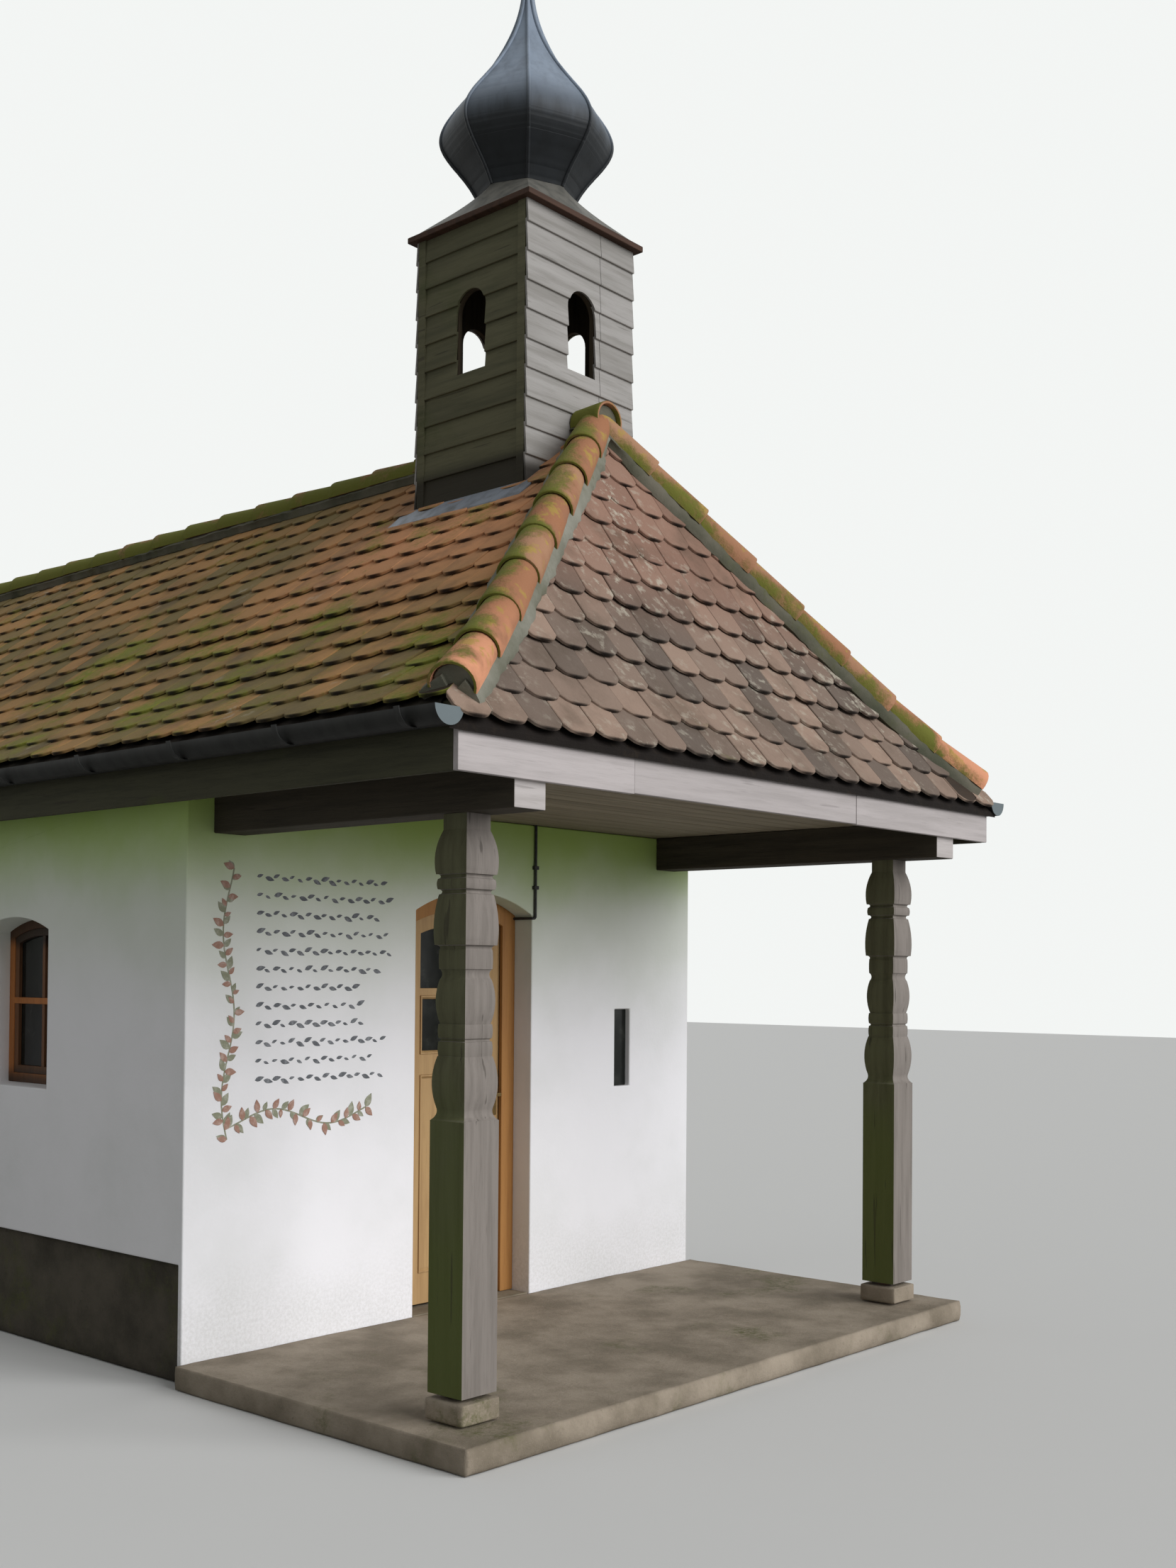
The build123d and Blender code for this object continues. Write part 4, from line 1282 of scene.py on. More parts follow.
@dataclass
class HipTiles:
    """Tapered half-round tiles up the hips and along the ridge, bedded in mortar."""

    roof: RoofForm
    foot: float = 0.088
    head: float = 0.071
    arc: float = 102.0
    length: float = 0.385
    exposure: float = 0.32
    thickness: float = 0.013
    sink: float = 0.006
    bed: float = 0.036
    turret_front: float = -2.572
    turret_rear: float = -1.836

    def tile(self) -> Thing:
        """Make one tile, its foot at the origin and its head along +X.

        Returns:
            The tile.
        """
        form = bmesh.new()
        steps = 14
        turns = [math.radians(self.arc * (2 * step / steps - 1)) for step in range(steps + 1)]
        rings = []
        for x, outer, inner in (
            (0.0, self.foot - 0.003, self.foot - self.thickness + 0.002),
            (0.004, self.foot, self.foot - self.thickness),
            (0.030, self.foot - 0.001, self.foot - self.thickness),
            (self.length, self.head, self.head - self.thickness),
        ):
            arcs = [(outer, turn) for turn in turns] + [(inner, turn) for turn in reversed(turns)]
            spots = ((x, size * math.sin(turn), size * math.cos(turn)) for size, turn in arcs)
            rings.append(ring(form, spots))
        skin(form, rings)
        ladder(form, rings[0])
        ladder(form, rings[-1])
        return carrier(as_mesh("hip_tile", form, 40.0))

    def pattern(self) -> Pattern:
        """Make the tree that lays tiles head over foot along a line.

        Returns:
            The tree, which rolls them about the line.
        """
        tree = Pattern("hip_tile_run")
        count, _ = tree.sizes("Int", "Count", "Seed")
        exposure, roll, sink = tree.sizes("Float", "Exposure", "Roll", "Sink")
        (tile,) = tree.sizes("Object", "Tile")
        index = tree.index()
        along = tree.plus(tree.times(index, exposure), tree.times(exposure, 0.3))
        (x, y, z), (over_x, over_y, up) = tree.sampled(0.04, along)
        jog = tree.chance(-0.004, 0.004, 1.0, index)
        back = tree.times(exposure, -0.3)
        spot = tree.point(
            tree.plus(x, tree.times(over_x, back)),
            tree.plus(y, tree.times(over_y, back)),
            tree.plus(tree.less(z, sink), tree.plus(jog, tree.times(up, back))),
        )
        laid = tree.moved(tree.row(count), Position=spot)
        laid = tree.toned(laid, tree.chance(0.0, 1.0, 2.0, index))
        turn = tree.point(
            tree.plus(roll, tree.chance(-0.05, 0.05, 4.0, index)),
            tree.times(tree.calc("ARCSINE", up), -1.0),
            tree.plus(tree.calc("ARCTAN2", over_y, over_x), tree.chance(-0.02, 0.02, 3.0, index)),
        )
        return tree.place(laid, tree.shape(tile), Rotation=turn)

    def slopes_at(self, side: int, end: int) -> tuple[Vector, Vector]:
        """Upward directions of the side slope and the end slope that meet at a hip."""
        rise = self.roof.ridge - self.roof.eaves
        flank = Vector((side * rise, 0.0, self.roof.half)).normalized()
        return (flank, Vector((0.0, end * rise, self.roof.hip_run)).normalized())

    def bedding(
        self, form: Form, line: Sequence[Vector], ups: Sequence[Vector], reach: float, seed: int
    ) -> None:
        """Add a lumpy strip of mortar on each side of a line of tiles.

        Args:
            form: Mesh that gets the strips.
            line: Points of the line.
            ups: Upward direction of the roof on each side of it.
            reach: How far the strip goes from the line.
            seed: Number that fixes the lumps.
        """
        along = (line[-1] - line[0]).normalized()
        stations: list[Vector] = []
        for start, stop in zip(line, line[1:]):
            steps = max(1, round((stop - start).length / 0.035))
            stations += [start.lerp(stop, step / steps) for step in range(steps)]
        stations.append(line[-1])
        for number, up in enumerate(ups):
            out = along.cross(up).normalized()
            if out.dot(ups[1 - number]) > 0:
                out = -out
            rng = random.Random(seed + number)
            rings = []
            for index, spot in enumerate(stations):
                close = min(1.0, 0.55 + (len(stations) - index) / 22)
                edge = (reach + rng.uniform(-0.007, 0.009)) * close
                lump = rng.uniform(-0.003, 0.004)
                profile = (
                    (0.020, 0.045),
                    (self.foot * 0.92, 0.034 + lump),
                    (edge * 0.88, 0.022 + lump),
                    (edge, 0.002),
                    (edge * 0.9, -0.016),
                    (0.020, -0.010),
                )
                spots = (spot + out * across + up * height for across, height in profile)
                rings.append(ring(form, spots))
            solid(form, rings)

    def plug(self, form: Form, line: Sequence[Vector]) -> None:
        """Fill the open foot of a line's first tile with mortar.

        Args:
            form: Mesh that gets it.
            line: Points of the line.
        """
        along, level, upright = self.axes_of(line[0], line[1])
        radius = self.foot - self.thickness - 0.001
        turns = [math.radians(turn) for turn in range(-120, 121, 20)]
        rings = []
        for reach, share in ((0.022, 0.94), (0.030, 1.0), (0.075, 1.0)):
            start = line[0] + along * reach - Vector((0, 0, self.sink))
            aside, up = level * radius * share, upright * radius * share
            rings.append(ring(form, (start + aside * math.sin(turn) + up * math.cos(turn) for turn in turns)))
        solid(form, rings)

    def axes_of(self, start: Vector, stop: Vector) -> tuple[Vector, Vector, Vector]:
        """Directions along a line, level across it, and square to both."""
        along = (stop - start).normalized()
        level = Vector((0, 0, 1)).cross(along).normalized()
        return (along, level, along.cross(level))

    def build(self) -> None:
        """Lay the four hips and the two lengths of ridge, with their mortar."""
        self.tree, self.shape, self.clay = self.pattern(), self.tile(), HipClay().build()
        lime, grime_and_shade = (
            Mortar(name, pale, dark, grain=48.0, lumps=0.004, moss_share=moss_share).build()
            for name, pale, dark, moss_share in (
                ("hip_mortar", paint(140, 139, 128), paint(102, 102, 88), 0.6),
                ("grimy_mortar", paint(104, 100, 88), paint(74, 76, 62), 0.5),
            )
        )
        self.hips(-1, "hip_tiles_front", "hip_mortar_front", lime, grime_and_shade)
        self.hips(1, "hip_tiles_rear", "hip_mortar_rear", lime, grime_and_shade)
        self.top(grime_and_shade)
        drop(self.shape)

    def hips(self, end: int, node: str, bed_name: str, lime: Finish, grime_and_shade: Finish) -> None:
        """Lay the two hips of one end.

        Args:
            end: -1 for the front, 1 for the rear.
            node: CAD node of their tiles.
            bed_name: Name for their mortar.
            lime: Finish of the mortar on the left.
            grime_and_shade: Finish of the mortar on the right.
        """
        form, beds = bmesh.new(), bmesh.new()
        for side in (-1, 1):
            line = self.roof.hip_line(side, end)
            line[0] = line[0].lerp(line[1], 0.20)
            flank, gable = self.slopes_at(side, end)
            along, level, upright = self.axes_of(line[2], line[-1])
            middle = (flank + gable).normalized()
            middle = (middle - along * middle.dot(along)).normalized()
            roll = math.atan2(-middle.dot(level), middle.dot(upright))
            run = sum((b - a).length for a, b in zip(line, line[1:]))
            self.lay(form, line, run, roll * 0.6, 60 + 7 * side + end)
            self.bedding(beds, line, (flank, gable), self.foot + self.bed, 90 + side + 3 * end)
            self.plug(beds, line)
        cut_away(beds, (0, end * self.roof.length_at(1.0) - 0.05 * end, 0), (0, -end, 0))
        piece(f"{node}_laid", as_mesh("hips", form, 40.0), self.clay, stands_for=[node], slot="hip_tiles")
        bed = as_mesh("beds", beds, 50.0)
        for face in bed.polygons:
            face.material_index = int(face.center.x > 0)
        piece(bed_name, bed, lime, grime_and_shade, slot="hip_tiles")

    def top(self, grime_and_shade: Finish) -> None:
        """Lay the ridge before and behind the turret.

        Args:
            grime_and_shade: Finish of its mortar.
        """
        form, beds = bmesh.new(), bmesh.new()
        rear, ridge = self.roof.length_at(1.0), self.roof.ridge
        ups = (self.slopes_at(1, 1)[0], self.slopes_at(-1, 1)[0])
        stretches = ((-rear - 0.085, self.turret_front, 71), (rear + 0.075, self.turret_rear, 83))
        for start, stop, seed in stretches:
            line = [Vector((0, y, ridge + 0.012)) for y in (start, stop)]
            part = bmesh.new()
            self.lay(part, line, abs(stop - start), 0.0, seed)
            outward = 1 if stop > start else -1
            cut_away(part, (0, stop, 0), (0, outward, 0))
            form.from_mesh(stored(part, bpy.data.meshes.new("part")))
            low_line = [Vector((0, y, ridge)) for y in (start + 0.04 * outward, stop)]
            self.bedding(beds, low_line, ups, self.foot + 0.004, seed)
            self.plug(beds, line)
        tiles = as_mesh("ridge", form, 40.0)
        piece("ridge_tiles_laid", tiles, self.clay, stands_for=["ridge_tiles"], slot="hip_tiles")
        piece("ridge_mortar", as_mesh("beds", beds, 50.0), grime_and_shade, slot="hip_tiles")

    def lay(self, form: Form, line: Sequence[Vector], run: float, roll: float, seed: int) -> None:
        """Run the tree along one line and add the tiles to a mesh.

        Args:
            form: Mesh that gets the tiles.
            line: Points of the line.
            run: Length of the line.
            roll: Turn of the tiles about the line.
            seed: Number that fixes what is random.
        """
        count = max(1, round(run / self.exposure))
        values = {
            "Count": count,
            "Exposure": run / count if count > 1 else self.exposure,
            "Roll": roll,
            "Sink": self.sink,
            "Seed": seed,
            "Tile": self.shape,
            "Finish": self.clay,
        }
        form.from_mesh(self.tree.run("tiles", values, wire("line", line)))


@dataclass
class Turret:
    """Bell turret: lapped boards on a lining, with an arched opening in each face."""

    exposure: float = 0.131
    lap: float = 0.014
    first_row: float = 5.055
    rows: int = 10
    board_out: float = 0.020
    lining: float = 0.025
    corner_strip: float = 0.045
    seam: float = 0.128
    opening: tuple[float, float, float] = (0.095, 4.467, 4.755)

    def __post_init__(self) -> None:
        """Read the turret's size from the frame."""
        low, high = extent("turret_front")
        _, rear = extent("turret_rear")
        self.half, self.top = high.x, high.z
        self.inner = self.half - self.board_out
        self.middle = (low.y + rear.y) / 2
        self.foot = self.first_row - self.exposure * self.rows

    def board(self, spans: Sequence[tuple[float, float]]) -> Thing:
        """Make one tilted row of boards, its lower inner edge at the origin.

        Args:
            spans: Ends of each board, seen from the front.

        Returns:
            The row.
        """
        form = bmesh.new()
        tall = self.exposure + self.lap
        profile = (
            (self.board_out - 0.0105, 0.0),
            (self.board_out - 0.0015, 0.0),
            (self.board_out, 0.0025),
            (self.board_out * 0.42, tall),
            (0.0, tall),
        )
        for span in spans:
            solid(form, [ring(form, ((x, -out, up) for out, up in profile)) for x in span])
        return carrier(as_mesh("board", form, 20.0))

    def pattern(self) -> Pattern:
        """Make the tree that hangs rows of boards one under another.

        Returns:
            The tree.
        """
        tree = Pattern("lapped_boards")
        rows, _ = tree.sizes("Int", "Rows", "Seed")
        (exposure,) = tree.sizes("Float", "Exposure")
        (board,) = tree.sizes("Object", "Board")
        points = tree.row(rows, tree.point(0.0, 0.0, tree.times(exposure, -1.0)))
        points = tree.moved(points, Offset=tree.point(0.0, 0.0, tree.chance(-0.003, 0.003, 1.0)))
        points = tree.toned(points, tree.chance(0.0, 1.0, 2.0))
        tip = tree.point(0.0, tree.chance(-0.003, 0.003, 3.0), 0.0)
        return tree.place(points, tree.shape(board), Rotation=tip)

    def arch(self, turned: bool) -> Mesh:
        """Make the cutter of the arched openings through two opposite faces.

        Args:
            turned: Whether they are the sides.

        Returns:
            The cutter.
        """
        half, sill, spring = self.opening
        steps = 14
        turns = [math.pi * step / steps for step in range(steps + 1)]
        outline = [(-half, sill), (half, sill)]
        outline += [(half * math.cos(turn), spring + half * math.sin(turn)) for turn in turns]
        form = bmesh.new()
        rings = []
        for reach in (-0.6, 0.6):
            rings.append(ring(form, ((reach, x, z) if turned else (x, reach, z) for x, z in outline)))
        solid(form, rings)
        for vert in form.verts:
            vert.co.y += self.middle
        return as_mesh("arch", form)

    def rows_on(
        self, tree: Pattern, spans: list[tuple[float, float]], finish: Finish, turn: float, seed: int
    ) -> Mesh:
        """Board one face over and cut its opening.

        Args:
            tree: Tree that lays the boards.
            spans: Ends of the boards in a row.
            finish: Their finish.
            turn: Degrees from the front to this face.
            seed: Number that fixes what is random.

        Returns:
            The boards in place.
        """
        board = self.board(spans)
        values = {"Rows": self.rows + 1, "Exposure": self.exposure, "Seed": seed}
        rows = tree.run("boards", {**values, "Board": board, "Finish": finish})
        rows.transform(
            Matrix.Translation((0.0, self.middle, self.first_row))
            @ Matrix.Rotation(math.radians(turn), 4, "Z")
            @ Matrix.Translation((0.0, -self.inner, 0.0))
        )
        form = unpacked(rows)
        cut_away(form, (0, 0, self.top), (0, 0, 1))
        opened = combined(stored(form, rows), [self.arch(abs(turn) == 90.0)], "DIFFERENCE", True)
        opened.set_sharp_from_angle(angle=math.radians(20.0))
        drop(board)
        return opened

    def build(self) -> None:
        """Clad the four faces and put the lining behind them."""
        tree = self.pattern()
        # Painted shade near black on the lowest boards: below 4.02 m on the front and rear, below 4.07 m on
        # the sides.
        weather = Timber(
            "front_boards", Grain.X, paint(158, 155, 152), paint(116, 113, 107),
            moss=paint(110, 112, 88), moss_share=0.25, cracks=0.35, unshaded_span=(4.02, 9.0),
        ).build()
        dark = Timber(
            "side_boards", Grain.Y, paint(100, 98, 76), paint(66, 66, 50),
            moss=paint(66, 74, 40), moss_share=0.55, cracks=0.5, unshaded_span=(4.07, 9.0),
        ).build()
        half, inner, strip = self.half, self.inner, self.corner_strip
        long = [(-half, self.seam - 0.0015), (self.seam + 0.0015, half)]
        for name, turn, seed in (("turret_front", 0.0, 5), ("turret_rear", 180.0, 9)):
            boards = self.rows_on(tree, long, weather, turn, seed)
            piece(f"{name}_boards", boards, weather, stands_for=[name], slot="weathered_wood")
        sides = bmesh.new()
        short = [(-inner + strip, inner - strip)]
        for turn, seed in ((-90.0, 14), (90.0, 21)):
            sides.from_mesh(self.rows_on(tree, short, dark, turn, seed))
        for x in (-1, 1):
            for y in (-1, 1):
                near_x, far_x = sorted((x * inner, x * (half + 0.001)))
                near_y, far_y = sorted((y * inner, y * (inner - strip)))
                low = (near_x, self.middle + near_y, self.foot)
                block(sides, low, (far_x, self.middle + far_y, self.top))
        boards = as_mesh("sides", sides, 20.0)
        piece("turret_side_boards", boards, dark, stands_for=["turret_sides"], slot="dark_wood")
        self.line()

    def line(self) -> None:
        """Make the lining, which shows in the openings and from below."""
        form = bmesh.new()
        corners = ((-1, -1), (1, -1), (1, 1), (-1, 1))
        outer_low, outer_high, inner_low, inner_high = (
            ring(form, ((x * reach, self.middle + y * reach, z) for x, y in corners))
            for reach in (self.inner, self.inner - self.lining)
            for z in (self.foot - 0.02, self.top)
        )
        skin(form, [outer_low, outer_high, inner_high, inner_low], closed=True)
        cutters = [self.arch(False), self.arch(True)]
        tube = combined(as_mesh("tube", form), cutters, "DIFFERENCE", True)
        wood = Timber("turret_lining_wood", Grain.Z, paint(74, 64, 50), paint(40, 36, 30)).build()
        piece("turret_lining", eased(tube, 0.002, 1), wood, slot="dark_wood")


@dataclass
class Dome:
    """Onion dome of eight facets with a seam on each edge, its skirt, ball and cross."""

    sides: int = 8
    seam: float = 0.009
    bulge: float = 0.012

    def __post_init__(self) -> None:
        """Read the dome's axis and the angle of its first corner from the frame."""
        low, high = extent("onion_dome")
        self.middle = (low.y + high.y) / 2
        verts = NODES["onion_dome"].data.vertices
        best = max(verts, key=lambda vert: math.hypot(vert.co.x, vert.co.y - self.middle))
        self.step = 2 * math.pi / self.sides
        self.start = math.atan2(best.co.y - self.middle, best.co.x) % self.step

    def profile(self) -> list[tuple[float, float]]:
        """Read the dome's section from the CAD dome.

        Returns:
            Radius to the corner and height at each level.
        """
        levels: dict[float, float] = {}
        for vert in NODES["onion_dome"].data.vertices:
            height = round(vert.co.z, 3)
            radius = math.hypot(vert.co.x, vert.co.y - self.middle)
            turn = (math.atan2(vert.co.y - self.middle, vert.co.x) - self.start) % self.step
            if min(turn, self.step - turn) < 0.01:
                levels[height] = max(levels.get(height, 0.0), radius)
        return [(levels[height], height) for height in sorted(levels)]

    def pattern(self) -> Pattern:
        """Make the tree that sweeps a seam along one edge and repeats it round the dome.

        Returns:
            The tree.
        """
        tree = Pattern("dome_seams")
        (count,) = tree.sizes("Int", "Count")
        (radius,) = tree.sizes("Float", "Seam")
        bead = tree.made("CurvePrimitiveCircle", {"Resolution": 8, "Radius": radius})
        rib = tree.made("CurveToMesh", {"Curve": tree.line(), "Profile Curve": bead, "Fill Caps": True})
        points = tree.moved(tree.row(count), Position=tree.point())
        turn = tree.calc("DIVIDE", tree.times(tree.index(), 2 * math.pi), count)
        return tree.place(points, rib, Rotation=tree.point(0.0, 0.0, turn))

    def level(self, radius: float, z: float) -> Iterator[Point]:
        """Go round the dome at one height, its facets a little bulged.

        Args:
            radius: Radius to the corners.
            z: Height.

        Yields:
            The points in turn.
        """
        turns = [self.start + 2 * math.pi * index / self.sides for index in range(self.sides)]
        for turn, after in zip(turns, turns[1:] + turns[:1]):
            corner = Vector((math.cos(turn), math.sin(turn), 0)) * radius
            other = Vector((math.cos(after), math.sin(after), 0)) * radius
            for share in (0.0, 0.35, 0.65):
                spot = corner.lerp(other, share)
                grow = 1 + (self.bulge if share else 0)
                yield (spot.x * grow, spot.y * grow + self.middle, z)

    def build(self) -> None:
        """Make the dome and dress what stands on and under it."""
        line = self.profile()
        form = bmesh.new()
        rings = [ring(form, self.level(radius, z)) for radius, z in line]
        skin(form, rings)
        form.faces.new(reversed(rings[0]))
        form.faces.new(rings[-1])
        # Painted shade on the dome: its lower facets near black below about 5.6 m.
        zinc = SheetMetal(
            "dome_sheet", paint(126, 138, 153), paint(106, 116, 129), soot_and_shade=(5.60, 5.86), metal=0.1
        ).build()
        dome = as_mesh("dome", form, 24.0)
        piece("onion_dome_sheets", dome, zinc, stands_for=["onion_dome"], slot="zinc_sheet")
        edge = [(math.cos(self.start) * radius, math.sin(self.start) * radius, z) for radius, z in line]
        values = {"Count": self.sides, "Seam": self.seam, "Finish": zinc}
        seams = self.pattern().run("seams", values, wire("edge", edge))
        seams.transform(Matrix.Translation((0, self.middle, 0)))
        seams.shade_smooth()
        piece("dome_seams", seams, zinc, slot="zinc_sheet")
        self.dress_around()

    def dress_around(self) -> None:
        """Finish the skirt, the cornice, the flashing and the finial."""
        tin = SheetMetal("skirt_sheet", paint(100, 98, 92), paint(70, 70, 66)).build()
        lead = SheetMetal("flashing_sheet", paint(126, 132, 142), paint(92, 94, 98), roughness=0.5).build()
        iron = PlainPaint("finial_iron", paint(52, 50, 48), paint(92, 74, 58), metal=0.5).build()
        stained = Timber("cornice_wood", Grain.X, paint(74, 54, 44), paint(40, 32, 28), cracks=0.3).build()
        ease_node("dome_skirt", 0.006, tin, "zinc_sheet", name="dome_skirt_sheets")
        ease_node("turret_cornice", 0.004, stained, "dark_wood")
        dress("turret_flashing", lead)
        ball = as_mesh("ball", welded(NODES["finial_ball"].data), 50.0)
        piece("finial_ball_smooth", ball, iron, stands_for=["finial_ball"], slot="iron")
        ease_node("cross", 0.003, iron, "iron", name="finial_cross")


@dataclass
class Walls:
    """Plastered walls as one skin, the painted vine by the door, and the plinth."""

    edge: float = 0.007
    paint_proud: float = 0.0009
    paint_sunk: float = 0.001
    front: float = -1.915
    vine: tuple[float, float] = (-1.455, 0.995)
    vine_top: float = 2.13
    garland: float = -0.70
    marks: Box = (-1.315, -0.565, 1.235, 2.10)
    mark_rows: int = 12

    def leaf(self, length: float, width: float) -> Thing:
        """Make a painted leaf, its stalk at the origin and its tip along +X.

        Args:
            length: From stalk to tip.
            width: Across its middle.

        Returns:
            The leaf, in the plane of the wall.
        """
        form = bmesh.new()
        shares = [step / 5 for step in range(6)]
        upper = [(length * share, width / 2 * math.sin(math.pi * share**0.8)) for share in shares]
        outline = upper + [(x, -z) for x, z in reversed(upper[1:-1])]
        depths = (-self.paint_proud, self.paint_sunk)
        solid(form, [ring(form, ((x, y, z) for x, z in outline)) for y in depths])
        return carrier(as_mesh("leaf", form, 60.0))

    def pattern(self) -> Pattern:
        """Make the tree that sets leaves along a stem, turned about it by chance.

        Returns:
            The tree.
        """
        tree = Pattern("painted_leaves")
        gap, spread = tree.sizes("Float", "Gap", "Spread")
        tree.sizes("Int", "Seed")
        (leaf,) = tree.sizes("Object", "Leaf")
        points = tree.add("CurveToPoints", {"Curve": tree.line(), "Length": gap}, mode="LENGTH")
        x, _, z = tree.axes(points.outputs["Tangent"])
        heading = tree.calc("ARCTAN2", tree.times(z, -1.0), x)
        side = tree.less(tree.times(tree.calc("MODULO", tree.index(), 2.0), 2.0), 1.0)
        swing = tree.times(spread, tree.chance(0.55, 1.25, 1.0))
        size = tree.chance(0.65, 1.2, 2.0)
        laid = tree.toned(points.outputs["Points"], size)
        turn = tree.point(0.0, tree.plus(heading, tree.times(side, swing)), 0.0)
        return tree.place(laid, tree.shape(leaf), Rotation=turn, Scale=tree.point(size, 1.0, size))

    def stems(self) -> list[list[Point]]:
        """Draw the vine up beside the marks, and below them towards the door.

        Returns:
            Points of each of its lines.
        """
        left, low = self.vine
        heights = (low + (self.vine_top - low) * n / 40 for n in range(41))
        lengths = (left + (self.garland - left) * n / 30 for n in range(31))
        return [
            [(left + 0.030 * math.sin(9.0 * z + 0.5), self.front, z) for z in heights],
            [(x, self.front, low + 0.075 + 0.040 * math.sin(10.0 * x + 1.2)) for x in lengths],
        ]

    def ribbon(self, form: Form, line: Sequence[Point], width: float) -> None:
        """Add a thin painted line along a path on the wall.

        Args:
            form: Mesh that gets it.
            line: Points of the path.
            width: Its width.
        """
        upper, lower = [], []
        for index, spot in enumerate(line):
            before, after = Vector(line[max(index - 1, 0)]), Vector(line[min(index + 1, len(line) - 1)])
            along = (after - before).normalized()
            across = Vector((along.z, 0, -along.x)) * width / 2
            upper.append(Vector(spot) + across)
            lower.append(Vector(spot) - across)
        depths = (-self.paint_proud * 0.8, self.paint_sunk)
        rings = [ring(form, (spot + Vector((0, y, 0)) for spot in upper + lower[::-1])) for y in depths]
        for outline in rings:
            ladder(form, outline)
        skin(form, rings)

    def decorate(self) -> None:
        """Paint the vine and the rows of plain marks on the front wall."""
        tree = self.pattern()
        green = PlainPaint("vine_green", paint(138, 140, 118), paint(170, 170, 154), 0.9).build()
        brown = PlainPaint("vine_brown", paint(160, 122, 106), paint(186, 160, 148), 0.9).build()
        grey = PlainPaint("mark_grey", paint(98, 101, 106), paint(140, 142, 146), 0.9).build()
        big, small, dash = self.leaf(0.060, 0.032), self.leaf(0.052, 0.028), self.leaf(0.044, 0.018)
        stems = self.stems()
        lines = bmesh.new()
        for stem in stems:
            self.ribbon(lines, stem, 0.007)
        piece("vine_stems", as_mesh("stems", lines, 60.0), green, slot="plaster")
        for name, leaf, gap, spread, seed, finish in (
            ("vine_leaves_green", big, 0.047, 0.95, 3, green),
            ("vine_leaves_brown", small, 0.041, 1.25, 8, brown),
        ):
            form = bmesh.new()
            for number, stem in enumerate(stems):
                stem = [(x, y - 0.0005 * (1 + number + seed // 4), z) for x, y, z in stem]
                values = {"Gap": gap, "Spread": spread, "Seed": seed + number, "Leaf": leaf, "Finish": finish}
                form.from_mesh(tree.run(name, values, wire("stem", stem)))
            piece(name, as_mesh(name, form, 60.0), finish, slot="plaster")
        left, right, low, high = self.marks
        form = bmesh.new()
        rng = random.Random(4)
        for row in range(self.mark_rows):
            z = high - (high - low) * row / (self.mark_rows - 1)
            inset = rng.uniform(0.0, 0.24)
            line = [(left, self.front, z), (right - inset, self.front, z)]
            values = {"Gap": 0.043, "Spread": 0.35, "Seed": 40 + row, "Leaf": dash, "Finish": grey}
            form.from_mesh(tree.run("marks", values, wire("row", line)))
        piece("painted_marks", as_mesh("marks", form, 60.0), grey, slot="plaster")
        drop(big, small, dash)

    def build(self) -> None:
        """Make the walls, their paint, the plinth and the room's surfaces."""
        front = ("front_wall_left", "front_wall_head", "front_wall_right")
        nodes = (*front, "left_wall", "rear_wall", "right_wall")
        walls = eased(node_mesh(*nodes), self.edge, 3)
        piece("plastered_walls", walls, LimePlaster().build(), stands_for=nodes, slot="plaster")
        self.decorate()
        tar = Mortar(
            "plinth_stone", paint(88, 82, 72), paint(60, 56, 48), grain=26.0, lumps=0.012, moss_share=0.7
        ).build()
        wear_node("plinth_sides", 0.022, 0.009, tar, "plinth_render")
        wear_node("plinth_rear", 0.025, 0.009, tar, "plinth_render")
        screed = Mortar("nave_floor_screed", paint(142, 134, 120), paint(104, 98, 86), grain=30.0)
        boards = Timber("nave_ceiling_boards", Grain.Y, paint(150, 124, 92), paint(104, 84, 62))
        dress("nave_floor", screed.build())
        dress("nave_ceiling", boards.build())


